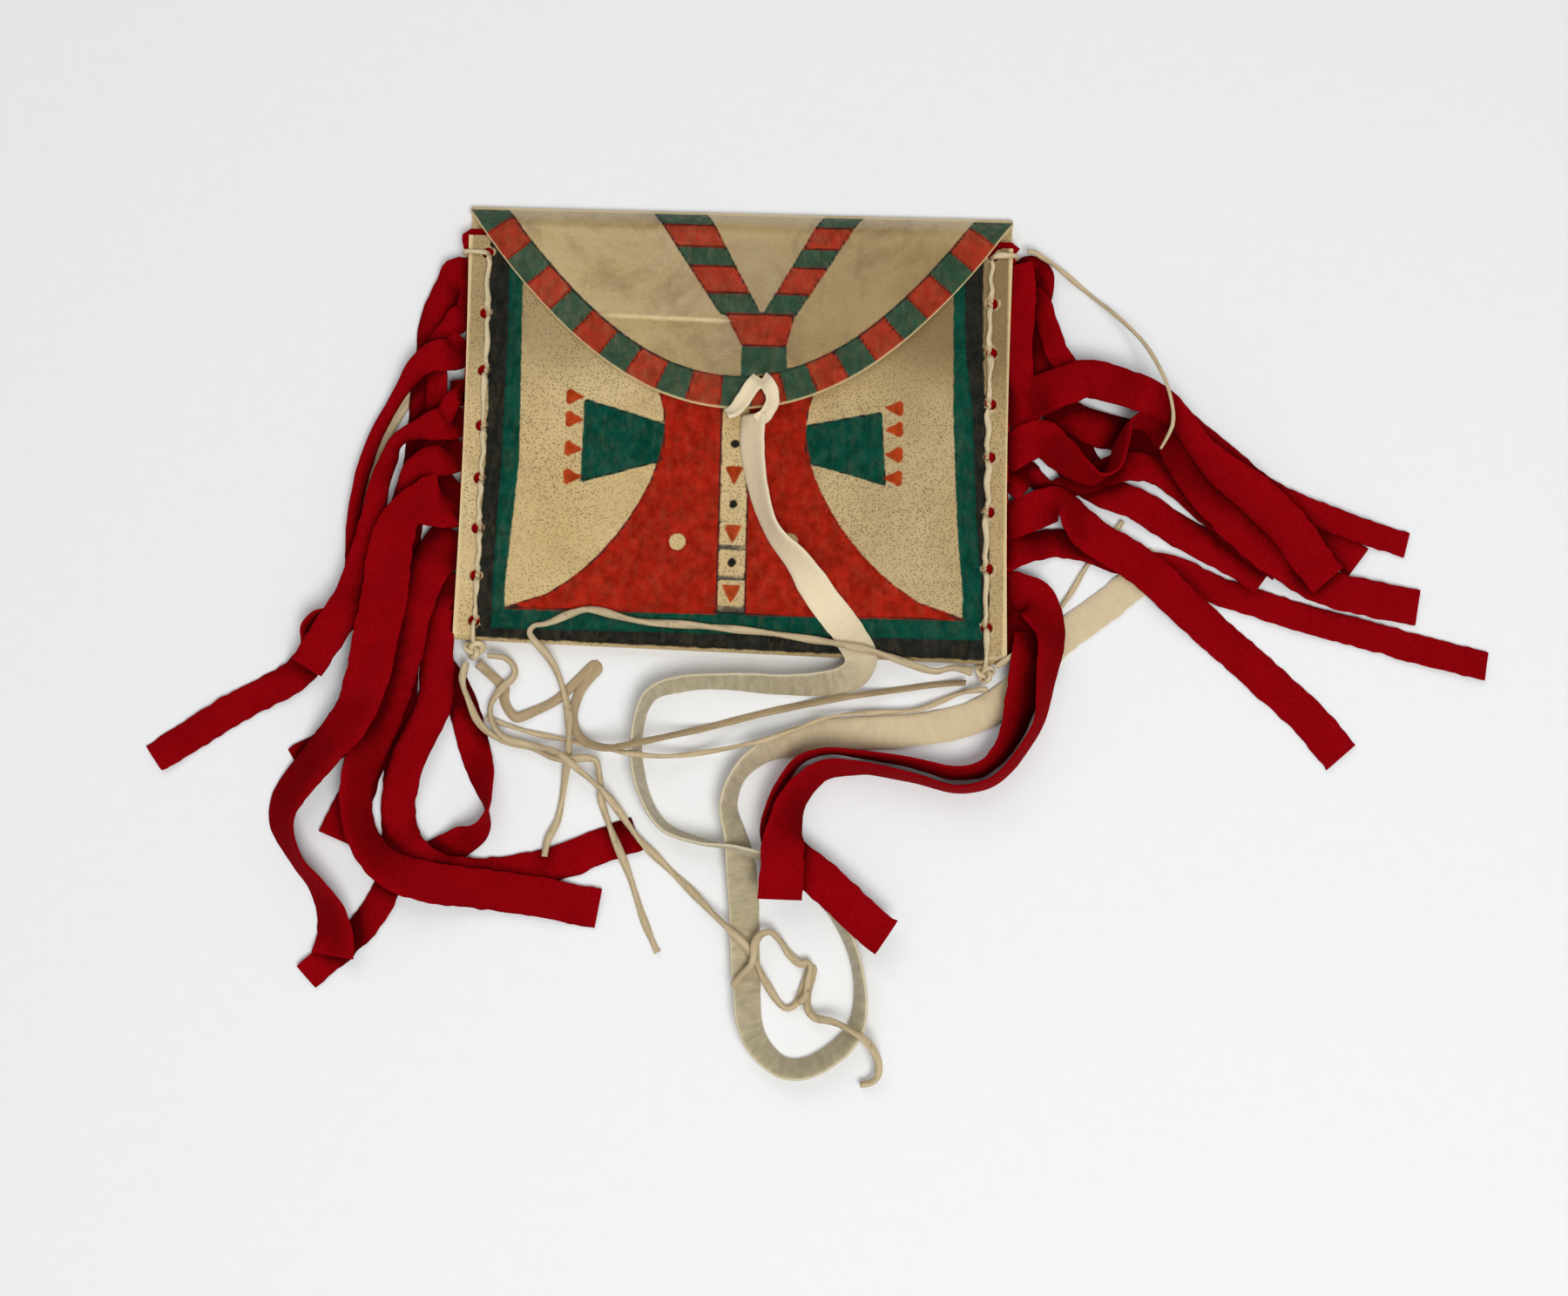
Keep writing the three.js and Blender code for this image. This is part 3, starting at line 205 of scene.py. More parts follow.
TABLE_LOW, TABLE_SIZE = -240, (520, 360)  # the lowest x and y of the table's heights, and how many each way
SHELTER_REACHES, SHELTER_TURNS = (1.5, 3, 5), 8  # how far and in how many directions shelter is looked for
COCKLE_SIZES, COCKLE_WAVES = (90, 55, 34, 22), 3  # lengths of the hide's waves, and how many of each
WAIST = 0.012  # share by which the sheet narrows between top and bottom
BACK_SHARE, FOLD_SHARE = 0.22, 0.32  # of the sheet's grid: where the bottom fold starts and ends
TURN_SHARE = 0.10  # of the flap's grid: where the crease ends
SHEET_GRID, FLAP_GRID = (170, 176), (170, 110)
FLAP_THINNED = 0.8  # the flap's thickness as a share of the sheet's
LEAVE_ANGLE, LANDS_AT = 62, 1.4  # where the flap leaves the crease's roll, and lies down above the mouth
LACE_TWIST = 0.03  # turns in a millimetre
RIM_REACH = 1.4  # points this far outside a hole are drawn to its rim
FAR = 1000.0  # a painted field's distance where it has no part

# The thong's two loop ends: width, then places from the tie's hole and tilts
LOOP_LEGS = (
    (4.4, [(-0.2, 1.2, 0), (-2.6, -2.2, 8), (-5, -6, 20), (-7, -8.6, 45), (-9, -9.6, 70)]),
    (4.2, [(0.4, 1.0, 0), (2.6, -2, -12), (3.3, -5.4, -30), (1.8, -8.8, -40), (-0.8, -11, -35)]),
)
# A running stitch at a hole: into the hole from its rim, and height off the panel in lifts
STITCH = ((1.0, -3.0), (0.45, -0.9), (-0.5, 1.3), (-1.8, 1.2))
STITCH_SWAY = (0.3, -0.2, 0.12, -0.28)

# The painted pattern, in millimetres from the middle of the panel
WAISTED_FIELD = {-1: (-62.1, -19.4), 1: (64.1, 19.2)}  # bottom corner and waist of each side
EYES = ((-15.1, -32.2, 2.6), (15.7, -31.4, 2.6))
LADDER_HALF = 3.9
LADDER_CELLS = (-4.8, -13.2, -21.6, -29.5, -37.6, -46.0)
LADDER_RAILS = (4.6, 3.5)  # drawn below each cell's middle
LADDER_MARK = ((-2.3, 2.0), (2.3, 2.0), (0, -2.5))
FRONT_TRAPEZOIDS = (
    [(-41.7, 6.6), (-19.5, 0.1), (-19.2, -9.7), (-42.0, -16.2)],
    [(19.1, 0.6), (40.0, 4.9), (41.5, -15.1), (19.2, -9.2)],
)
SMALL_MARKS = ((-44.6, (7.4, 1.0, -7.2, -15.0)), (43.8, (6.3, 0.3, -6.7, -13.2)))
SMALL_MARK = ((1.4, 1.7), (1.4, -1.7), (-2.6, 0))  # outwards and up
SMALL_LOBES = (-1.1, 0, 1.1)
# Side borders at these heights: the green's inner edge, its outer edge and the black's outer edge
BORDER_ROWS = (-45, -28, -11, 6, 22, 40)
BORDER_EDGES = (
    ((-62.3, -60.8, -59.6, -59.8, -60.1, -60.4), (63.8, 62.0, 61.0, 60.1, 59.9, 59.6)),
    ((-65.1, -64.7, -63.9, -63.8, -63.5, -63.7), (68.5, 66.9, 65.9, 65.0, 62.8, 62.2)),
    ((-70.3, -69.2, -68.5, -68.4, -69.2, -69.4), (70.6, 70.3, 69.6, 68.7, 67.7, 67.4)),
)
LOW_GREEN, LOW_BLACK, BARE_FOLD = -51.5, -57.0, 1.5
BAND_DEPTH, BAND_BLOCKS = 8.8, 21
# The flap's two arms: each one's left and right edge, at its top and its bottom row
ARM_ROWS = (61.5, 56.1, 50.1, 44.6, 37.1, 31.0)
FLAP_ARMS = (((-25.2, -4.8), (-10.4, 6.0)), ((23.9, 6.9), (34.4, 15.6)))
ARM_FOOT = [(-3.2, 31), (15.2, 31), (13.2, 22.2), (1.4, 22.2)]
ARM_STEM = [(1.4, 22.2), (13.2, 22.2), (13.6, 12), (1.4, 12)]

# Colours of small details
FLECK = (0.10, 0.055, 0.025)
CREAM, STRAW, SKIN_EDGE = (0.90, 0.75, 0.50), (0.76, 0.60, 0.37), (0.80, 0.70, 0.50)

# The stage, in metres: each lamp's name, place, size and share of the power
TARGET = (0.01492, -0.06015, 0)
LAMPS = (
    ("front_softbox", (0.25, -0.55, 1.2), 0.6, 1.27),
    ("back_fill", (-0.45, 0.9, 1.2), 0.9, 0.42),
    ("strip_light", (-0.1, 0.47, 1.3), 0.05, 0.06),
)
SKY, SKY_STRENGTH = (0.93, 0.95, 1.0, 1), 0.32


def length(name, description, default):
    return FloatProperty(name=name, description=description, default=default, unit="LENGTH")


def angle(name, description, degrees):
    return FloatProperty(name=name, description=description, default=math.radians(degrees), subtype="ANGLE")


def colour(name, description, default):
    return FloatVectorProperty(name=name, description=description, default=default, subtype="COLOR")


class HideSettings(bpy.types.PropertyGroup):
    """Sizes and colours of the rawhide sheet and its paint."""

    width: length("Width", "Across the envelope", 0.152)
    height: length("Height", "Crease to bottom fold", 0.1243)
    skew: length("Bottom skew", "How far the bottom corners lie askew", 0.0016)
    thickness: length("Rawhide", "Thickness of the sheet", 0.0012)
    pocket: length("Pocket", "Room between the panels", 0.0056)
    low_pocket: length("Low pocket", "Room between the panels at the bottom fold", 0.0044)
    mouth: length("Mouth", "Crease to the front panel's top edge", 0.0097)
    flap: length("Flap", "Crease to the flap's tip", 0.0576)
    crease: length("Crease", "Radius of the crease", 0.00135)
    tan: colour("Rawhide", "Bare hide", (0.62, 0.445, 0.190))
    # Also painted on the flap as highlight, along its crease and across its left half.
    pale: colour("Pale hide", "Scraped patches and cut edges", (0.74, 0.57, 0.29))
    smudge: colour("Smudge", "Wide brown smudges", (0.235, 0.145, 0.062))
    stain: colour("Stain", "Mottled stains", (0.17, 0.10, 0.045))
    aged: colour("Aged hide", "Handled, yellowed hide", (0.25, 0.165, 0.062))
    red: colour("Red paint", "Red fields", (0.34, 0.014, 0.005))
    mark: colour("Small marks", "Lighter red marks", (0.40, 0.045, 0.008))
    green: colour("Green paint", "Green fields", (0.0035, 0.058, 0.036))
    black: colour("Black paint", "Border and drawn lines", (0.016, 0.016, 0.013))


class FringeSettings(bpy.types.PropertyGroup):
    """Sizes and colour of the wool cloth."""

    cloth: length("Cloth", "Thickness of the cloth", 0.0012)
    header: length("Header", "Depth caught in the seam", 0.012)
    slit: length("Slit", "Gap between strands at the root", 0.0008)
    wool: colour("Wool", "Wool cloth", (0.32, 0.0003, 0.0022))


class LaceSettings(bpy.types.PropertyGroup):
    """Sizes and colours of the lacing and the tie."""

    lace: length("Lace", "Thickness of the lacing", 0.002)
    sinew: length("Sinew", "Thickness of the sinew", 0.0014)
    hole: length("Hole", "Lacing hole", 0.0034)
    inset: length("Hole inset", "Side edge to the holes", 0.0057)
    tie_width: length("Tie width", "Width of the thong", 0.009)
    tie_thickness: length("Tie thickness", "Thickness of the thong", 0.0013)
    rawhide_lace: colour("Lace", "Twisted rawhide", (0.66, 0.53, 0.32))
    buckskin: colour("Buckskin", "Thong", (0.50, 0.42, 0.27))


class StageSettings(bpy.types.PropertyGroup):
    """Camera, floor and light."""

    distance: length("Distance", "Camera to target", 0.5934)
    elevation: angle("Elevation", "Camera above the horizon", 85.0)
    azimuth: angle("Azimuth", "Camera round the object", 1.5)
    lens: FloatProperty(name="Lens", description="Focal length on a 36 mm sensor", default=49.2,
                        unit="CAMERA")
    lamp: FloatProperty(name="Lamp", description="Power that the lamps share in", default=9.0, unit="POWER")
    floor: colour("Floor", "Floor", (0.88, 0.885, 0.88))


def settings():
    """All the settings, with the derived sizes in millimetres."""
    scene = bpy.context.scene
    hide, fringe, lace = scene.envelope_hide, scene.envelope_fringe, scene.envelope_lace
    s = SimpleNamespace(hide=hide, fringe=fringe, lace=lace, stage=scene.envelope_stage)
    s.half = hide.width / MM / 2
    s.height = hide.height / MM
    s.skew = hide.skew / MM
    s.raw = hide.thickness / MM
    s.pocket = hide.pocket / MM
    s.low_pocket = hide.low_pocket / MM
    s.cloth = fringe.cloth / MM
    s.header = fringe.header / MM
    s.slit = fringe.slit / MM
    s.lace_d = lace.lace / MM
    s.sinew_d = lace.sinew / MM
    s.hole = lace.hole / MM
    s.lace_room = s.lace_d + 2 * CLEAR
    s.hole_x = s.half - lace.inset / MM
    s.seam_x = s.hole_x - s.hole / 2
    s.crease = hide.crease / MM
    s.axis_y = s.height / 2 - s.crease
    s.back_top = s.axis_y - s.crease - CLEAR
    s.mouth_y = s.height / 2 - hide.mouth / MM
    s.tip_y = s.height / 2 - hide.flap / MM
    s.tie_hole = (TIE_HOLE[0], s.tip_y + TIE_HOLE[1])
    s.tie_w = lace.tie_width / MM
    s.tie_t = lace.tie_thickness / MM
    return s


def smooth(value, low, high):
    """Smooth step from 0 at low to 1 at high."""
    t = np.clip((np.asarray(value, float) - low) / (high - low), 0, 1)
    return t * t * (3 - 2 * t)


def mix(a, b, t):
    return a + (b - a) * t


def unit(vectors):
    return vectors / np.linalg.norm(vectors, axis=-1, keepdims=True)


# Heights of the folded sheet's middle surface, in millimetres

def bottom_y(s, x):
    return -s.height / 2 - s.skew * np.asarray(x, float) / s.half


def seam_share(s, x):
    return smooth(np.abs(x), s.seam_x - SEAM_SLOPE, s.seam_x)


def back_mid(s, x, y):
    settled = 1 - smooth(y, s.mouth_y - BACK_SETTLES, s.back_top)
    return s.raw / 2 + s.lace_room * seam_share(s, x) * settled


def cloth_mid(s, x, y):
    """Middle of the cloth that lies in the seams."""
    return back_mid(s, x, y) + s.raw / 2 + CLEAR + s.cloth / 2


def front_mid(s, x, y):
    gap = mix(s.low_pocket, s.pocket, smooth(y - bottom_y(s, x), *POCKET_RISE))
    middle = 1.5 * s.raw + gap
    seam = 1.5 * s.raw + s.lace_room + s.cloth + 2 * CLEAR
    return mix(middle, seam, seam_share(s, x))


def fold_at(s, x):
    """Centre and radius of the bottom fold's middle surface."""
    outer = bottom_y(s, x)
    low = back_mid(s, x, outer + s.pocket)
    high = front_mid(s, x, outer + s.pocket)
    radius = (high - low) / 2
    return outer + s.raw / 2 + radius, (high + low) / 2, radius


def flap_mid(s, x, y):
    away = np.hypot(x - s.tie_hole[0], y - s.tie_hole[1])
    thong = (s.tie_t + CLEAR) * (1 - smooth(away, *THONG_LIFT))
    return front_mid(s, x, np.minimum(y, s.mouth_y)) + s.raw + CLEAR + thong


def flap_edge(s, x):
    return s.tip_y + (s.axis_y - FLAP_CORNER - s.tip_y) * (np.asarray(x, float) / s.half) ** 2


def highlight_line(x, y):
    """Height above the line across the left half of the flap where a highlight is painted pale and a low
    ridge is raised.
    """
    return y - 29.5 + 0.03 * (x + 20)


def hole_rows(s, side):
    """Lacing holes of one side, from the top down."""
    top, low, bow = HOLE_ENDS[side]
    t = np.linspace(0, 1, HOLES)
    return mix(s.height / 2 - top, -s.height / 2 + low, t + bow * t * (1 - t))


def cockle(x, y, seed):
    """Slow waves of dried hide, in millimetres, about one either way."""
    rng = np.random.default_rng(seed)
    total = 0 * (x + y)
    for size in COCKLE_SIZES:
        for _ in range(COCKLE_WAVES):
            turn, phase = rng.uniform(0, 2 * math.pi, 2)
            wave = 2 * math.pi / size * (x * math.cos(turn) + y * math.sin(turn))
            total = total + size / 200 * np.sin(wave + phase)
    return total


# Meshes

def activate(obj=None):
    """Select only the object, if one is given, and make it the active one."""
    if bpy.context.object and bpy.context.object.mode != "OBJECT":
        bpy.ops.object.mode_set(mode="OBJECT")
    bpy.ops.object.select_all(action="DESELECT")
    if obj:
        obj.select_set(True)
        bpy.context.view_layer.objects.active = obj


def point_floats(mesh, floats):
    for key, values in floats.items():
        mesh.attributes.new(key, "FLOAT", "POINT").data.foreach_set("value", np.asarray(values, np.float32))


def point_places(mesh):
    places = np.zeros(len(mesh.vertices) * 3)
    mesh.vertices.foreach_get("co", places)
    return places.reshape(-1, 3)


def mesh_object(name, verts, faces, uv, floats=None):
    """A smooth mesh from points in millimetres, with its map and point attributes."""
    mesh = bpy.data.meshes.new(name)
    mesh.from_pydata((np.asarray(verts) * MM).tolist(), [], [list(map(int, f)) for f in faces])
    point_floats(mesh, floats or {})
    layer = mesh.uv_layers.new(name="UVMap")
    index = np.zeros(len(mesh.loops), np.int32)
    mesh.loops.foreach_get("vertex_index", index)
    layer.data.foreach_set("uv", (np.asarray(uv)[index] * MM).astype(np.float32).ravel())
    mesh.polygons.foreach_set("use_smooth", np.ones(len(mesh.polygons), bool))
    mesh.update()
    obj = bpy.data.objects.new(name, mesh)
    bpy.context.scene.collection.objects.link(obj)
    return obj


def grid_object(name, columns, rows, place, floats):
    """A grid whose points are moved to place(u, v), with point attributes from floats(x, y, v)."""
    activate()
    bpy.ops.mesh.primitive_grid_add(x_subdivisions=columns, y_subdivisions=rows, size=2)
    obj = bpy.context.object
    obj.name = obj.data.name = name
    flat = point_places(obj.data)
    u, v = flat[:, 0], (flat[:, 1] + 1) / 2
    xyz = place(u, v)
    point_floats(obj.data, floats(xyz[:, 0], xyz[:, 1], v))
    obj.data.vertices.foreach_set("co", (xyz * MM).ravel())
    obj.data.update()
    return obj


def make_sheet(obj, holes, diameter, thickness, *materials):
    """Punch a grid, give it its materials and thickness, with own slots for the inside and the cut edge."""
    punch(obj, holes, diameter)
    dress(obj, *materials)
    activate(obj)
    solid = obj.modifiers.new("Solidify", "SOLIDIFY")
    solid.thickness, solid.offset, solid.use_even_offset = thickness * MM, 0, True
    solid.material_offset, solid.material_offset_rim = 1, 2
    bpy.ops.object.modifier_apply(modifier=solid.name)
    bpy.ops.object.mode_set(mode="EDIT")
    bpy.ops.mesh.select_all(action="SELECT")
    bpy.ops.mesh.normals_make_consistent(inside=False)
    soften(obj, 40)


def soften(obj, degrees):
    activate(obj)
    bpy.ops.object.shade_smooth_by_angle(angle=math.radians(degrees))


def punch(obj, places, diameter):
    """Open round holes in a sheet that has no thickness yet."""
    mesh = obj.data
    xy = point_places(mesh)[:, :2] / MM
    inside = np.zeros(len(xy), bool)
    for x, y in places:
        inside |= np.hypot(xy[:, 0] - x, xy[:, 1] - y) < diameter / 2
    activate(obj)
    bpy.ops.object.mode_set(mode="EDIT")
    bpy.ops.mesh.select_all(action="DESELECT")
    bpy.ops.mesh.select_mode(type="VERT")
    bpy.ops.object.mode_set(mode="OBJECT")
    mesh.vertices.foreach_set("select", inside)
    bpy.ops.object.mode_set(mode="EDIT")
    bpy.ops.mesh.delete(type="VERT")
    bpy.ops.mesh.select_non_manifold()
    bpy.ops.object.mode_set(mode="OBJECT")
    for vertex in mesh.vertices:
        if vertex.select:
            for x, y in places:
                away = Vector((vertex.co.x / MM - x, vertex.co.y / MM - y))
                if away.length < diameter / 2 + RIM_REACH:
                    away = away.normalized() * diameter / 2
                    vertex.co.x, vertex.co.y = (x + away.x) * MM, (y + away.y) * MM


def strip_faces(rings, sides):
    """Quads round a sweep of closed rings, with both ends closed."""
    i, k = np.meshgrid(np.arange(rings - 1), np.arange(sides), indexing="ij")
    a = i * sides + k
    b = i * sides + (k + 1) % sides
    quads = np.stack([a, b, b + sides, a + sides], -1).reshape(-1, 4).tolist()
    return quads + [list(range(sides))[::-1], list(range((rings - 1) * sides, rings * sides))]


def strip_map(across, far):
    """A map of a strip or tube: across it and along it, in millimetres."""
    shape = (len(far), across.shape[-1])
    return np.stack([np.broadcast_to(across, shape), np.broadcast_to(far[:, None], shape)], -1).reshape(-1, 2)


def joined(parts):
    """Several (points, faces, map) as one."""
    verts, faces, maps, offset = [], [], [], 0
    for v, f, m in parts:
        verts.append(v)
        maps.append(m)
        faces += [[i + offset for i in face] for face in f]
        offset += len(v)
    return np.vstack(verts), faces, np.vstack(maps)


# Laying: what lies on the table, as a height at each millimetre

class Pile:
    """Heights of what already lies on the table."""

    def __init__(self):
        self.heights = np.zeros(TABLE_SIZE)

    def cell(self, x, y):
        return tuple(np.clip(np.rint(v - TABLE_LOW).astype(int), 0, size - 1)
                     for v, size in zip((x, y), TABLE_SIZE))

    def top(self, s, x, y, over):
        height = self.heights[self.cell(x, y)]
        if not over:
            return height
        inside = (np.abs(x) < s.half + 1) & (y > bottom_y(s, x) - 1) & (y < s.height / 2)
        return np.maximum(height, np.where(inside, front_mid(s, x, y) + s.raw / 2, 0))

    def raise_to(self, x, y, z):
        np.maximum.at(self.heights, self.cell(x, y), z)

    def shelter(self, s, points):
        """How far each point lies in the shelter of what is heaped around it, from 0 to 1; used as the wool's
        painted shade.
        """
        x, y, z = points.T
        total = np.zeros(len(x))
        for reach in SHELTER_REACHES:
            for turn in np.linspace(0, 2 * math.pi, SHELTER_TURNS, endpoint=False):
                around = self.top(s, x + reach * math.cos(turn), y + reach * math.sin(turn), True)
                total += np.clip((around - z) / reach, 0, 1) / (len(SHELTER_REACHES) * SHELTER_TURNS)
        return total


def curve(padded, steps):
    """Points of the smooth curve through all but the first and the last of the padded points."""
    t = np.linspace(0, 1, steps, endpoint=False)[:, None]
    spans = [(2 * t**3 - 3 * t**2 + 1) * p1 + (t**3 - 2 * t**2 + t) * (p2 - p0) / 2
             + (-2 * t**3 + 3 * t**2) * p2 + (t**3 - t**2) * (p3 - p1) / 2
             for p0, p1, p2, p3 in zip(padded, padded[1:], padded[2:], padded[3:])]
    return np.vstack(spans + [padded[-2:-1]])


def distances(points):
    """Distance of each point along the row of points."""
    return np.concatenate([[0], np.cumsum(np.linalg.norm(np.diff(points, axis=0), axis=1))])


def route_samples(route, spacing):
    """Even samples of a flat route: place, tilt in radians, share of the width, distance, left-hand side."""
    full = [(*p, *(0.0, 1.0)[len(p) - 2:]) for p in route]
    points = np.array([(x, y, math.radians(tilt), share) for x, y, tilt, share in full])
    fine = curve(np.vstack([points[:1], points, points[-1:]]), 40)
    far = distances(fine[:, :2])
    even = np.linspace(0, far[-1], max(2, round(far[-1] / spacing) + 1))
    x, y, tilt, share = (np.interp(even, far, column) for column in fine.T)
    dx, dy = np.gradient(x), np.gradient(y)
    run = np.hypot(dx, dy)
    return SimpleNamespace(x=x, y=y, tilt=tilt, share=share, far=even, side_x=-dy / run, side_y=dx / run)


def resample(points, spacing):
    """Even points along a smooth curve through points, and their distances along it."""
    points = np.asarray(points, float)
    fine = curve(np.vstack([2 * points[0] - points[1], points, 2 * points[-1] - points[-2]]), 24)
    far = distances(fine)
    even = np.linspace(0, far[-1], max(3, round(far[-1] / spacing) + 1))
    return np.stack([np.interp(even, far, column) for column in fine.T], 1), even


def spread(p, u, reach):
    """Sideways and upward place of the point at u of a half width, where the strip is gathered to a share."""
    return u * reach * p.share, 0.5 * (1 - u**2) * np.clip(2 - 2 * p.share, 0, 1)


def blur(values, reach):
    """Even out a row of values over about reach samples."""
    k = np.exp(-0.5 * (np.arange(-3 * reach, 3 * reach + 1) / reach) ** 2)
    padded = np.pad(values, 3 * reach, mode="edge")
    return np.convolve(padded, k / k.sum(), mode="valid")


def lay(s, pile, route, width, thickness, slope, over=False, start_z=None, pin=12):
    """Lay a strip on the pile, in long low humps over what is under it, and add it to the pile."""
    p = route_samples(route, LAY_STEP)
    flat, stand = np.abs(np.cos(p.tilt)), np.sin(p.tilt)
    thick = thickness / 2 * np.abs(stand)

    def places(count, edge):
        for share in np.linspace(-1, 1, count):
            across, bulge = spread(p, share, width / 2)
            for reach in (-1, 0, 1):
                aside = across * np.cos(p.tilt) + reach * edge
                yield p.x + p.side_x * aside, p.y + p.side_y * aside, across, bulge

    need = np.zeros(len(p.x))
    for x, y, across, bulge in places(9, LAY_EDGE + thick):
        ground = pile.top(s, x, y, over)
        need = np.maximum(need, ground + LAY_GAP + thickness / 2 * flat - across * stand - bulge * flat)
    z = need.copy()
    drop = slope * (p.far[1] - p.far[0])
    for i in range(1, len(z)):
        z[i] = max(z[i], z[i - 1] - drop)
    for i in range(len(z) - 2, -1, -1):
        z[i] = max(z[i], z[i + 1] - drop)
    p.z = blur(np.maximum(blur(z, 4), need), 2)
    if start_z is not None:
        p.z = mix(start_z, p.z, smooth(p.far, 0, pin))
    for x, y, across, bulge in places(max(3, math.ceil(width / 0.6)), thick):
        pile.raise_to(x, y, p.z + across * stand + (bulge + thickness / 2) * flat)
    return p


LAYOUT = {}


def layout(s):
    """Lay the thong, the strands and the laces in the order in which they lie; kept while the sizes stay."""
    sizes = [value for value in vars(s).values() if isinstance(value, float)]
    if LAYOUT.get("sizes") == sizes:
        return LAYOUT
    LAYOUT.clear()
    LAYOUT["sizes"] = sizes
    LAYOUT["pile"] = pile = Pile()
    back_to_front = [(x, y, -tilt) for x, y, tilt in TIE_ROUTE[::-1]]
    LAYOUT["tie"] = lay(s, pile, back_to_front, s.tie_w, s.tie_t, THONG_SLOPE, over=True)
    laces = {name: lace for name, *lace in LOOSE_LACES}
    for side, strands in ((1, RIGHT_STRANDS), (-1, LEFT_STRANDS)):
        roots = strand_roots(s, side, strands)
        for root, width, route in strands:
            if (side, root) in LACES_UNDER:
                name = LACES_UNDER[side, root]
                lay_lace(s, pile, name, *laces.pop(name))
            if side > 0 and root == BAND_UNDER:
                edge = [(s.half + out, y, tilt) for out, y, tilt in RIGHT_BAND[1]]
                LAYOUT["band"] = lay(s, pile, edge, RIGHT_BAND[0], s.cloth, STRAND_SLOPE)
            y = roots[root]
            gathered = route[0][3:]
            points = [(side * (s.half + s.cloth), y, 0, *gathered)]
            points += [(side * (s.half + out), y + up, *roll) for out, up, *roll in route]
            LAYOUT[side, root] = lay(s, pile, points, width, s.cloth, STRAND_SLOPE,
                                     start_z=float(cloth_mid(s, side * s.half, y)), pin=6 if gathered else 12)
    for name, lace in laces.items():
        lay_lace(s, pile, name, *lace)
    return LAYOUT


def lay_lace(s, pile, name, kind, knot, route):
    """Lay one loose lace, from its seam's bottom fold if it starts at a knot there."""
    start = float(fold_at(s, knot * s.hole_x)[1]) if knot else None
    p = lay(s, pile, route, *lace_size(s, kind), LACE_SLOPE, over=True, start_z=start, pin=8)
    LAYOUT[name] = resample(np.stack([p.x, p.y, p.z], 1)[::3], 0.6)


def lace_size(s, kind):
    """Width and thickness of a loose lace in millimetres."""
    if kind == "strip":
        return 1.3 * s.lace_d, 0.5 * s.lace_d
    diameter = s.sinew_d if kind == "sinew" else s.lace_d
    return 1.12 * diameter, 0.8 * diameter


def strand_roots(s, side, strands):
    """Middle of each strand's root, from the strands' own widths with even slits between them."""
    first = hole_rows(s, side)[0] - s.lace_d / 2 - 2 * CLEAR - s.slit / 2
    widths = {root: width for root, width, _ in strands}
    slit = (first - header_low(s, side) - sum(widths.values())) / len(widths)
    roots, y = {}, first
    for root in sorted(widths):
        roots[root] = y - (slit + widths[root]) / 2
        y -= slit + widths[root]
    return roots


def header_low(s, side):
    return float(bottom_y(s, side * s.half)) + HEADER_ENDS[1]


def ribbon(p, width, thickness, rng, ragged, cup, skew=0.0):
    """Points, faces and map of a soft strip with rounded, slightly ragged edges."""
    centre = np.stack([p.x, p.y, p.z], 1)
    along = unit(np.gradient(centre, axis=0))
    side = np.stack([p.side_x, p.side_y, 0 * p.x], 1)
    up = unit(np.cross(along, side))
    across = side * np.cos(p.tilt)[:, None] + up * np.sin(p.tilt)[:, None]
    normal = unit(np.cross(along, across))

    def drift(reach):
        return blur(rng.normal(size=len(centre)), reach)

    left, right = (width / 2 * (1 + 0.03 * drift(8)) + ragged * drift(1) for _ in range(2))
    wave = 0.7 * drift(7)
    shares = np.sin(np.linspace(-1, 1, 11) * math.pi / 2)
    body = np.sqrt(np.clip(1 - shares**8, 0.12, 1))
    ending = skew * smooth(p.far, p.far[-1] - 6, p.far[-1])
    rings = []
    for sign in (1, -1):
        for share, full in zip(shares[::-sign], body[::-sign]):
            aside, bulge = spread(p, share, left if share > 0 else right)
            lift = bulge + sign * full * thickness / 2 + (cup * (share**2 - 0.4) + wave * share) * p.share
            rings.append(centre + across * aside[:, None] + normal * lift[:, None]
                         + along * (share * ending)[:, None])
    verts = np.stack(rings, 1)
    sunk = np.maximum(0, 0.05 - verts[..., 2].min(axis=1))  # kept just off the table
    verts[..., 2] += np.maximum(sunk, blur(sunk, 3))[:, None]
    around = np.concatenate([shares[::-1], shares]) * width / 2
    return verts.reshape(-1, 3), strip_faces(*verts.shape[:2]), strip_map(around, p.far)


def twisted_tube(centres, far, wide, thin, turns, rng, sides, rough):
    """Points, faces and map of a flat thong twisted as it goes; turns are per millimetre."""
    along = unit(np.gradient(centres, axis=0))
    first = np.cross(along[0], (0, 0, 1.0))
    if np.linalg.norm(first) < 0.2:
        first = np.cross(along[0], (0, 1.0, 0))
    frames = [unit(first)]
    for tangent in along[1:]:
        frames.append(unit(frames[-1] - tangent * frames[-1].dot(tangent)))
    side = np.array(frames)
    up = np.cross(along, side)
    count = len(centres)
    spin = 2 * math.pi * turns * far + (2.4 if turns else 0.5) * blur(rng.normal(size=count), 12)
    turn = np.linspace(0, 2 * math.pi, sides, endpoint=False)
    swell = 1 + rough * 3 * blur(rng.normal(size=count), 4)
    a = np.cos(turn)[None] * wide / 2 * swell[:, None]
    b = np.sin(turn)[None] * thin / 2 * swell[:, None] * (1 + rough * rng.normal(size=(count, sides)))
    cos, sin = np.cos(spin)[:, None], np.sin(spin)[:, None]
    verts = (centres[:, None] + side[:, None] * (a * cos - b * sin)[..., None]
             + up[:, None] * (a * sin + b * cos)[..., None])
    return verts.reshape(-1, 3), strip_faces(count, sides), strip_map(turn * wide / 2, far)


# Painted fields: signed distances in millimetres, negative inside

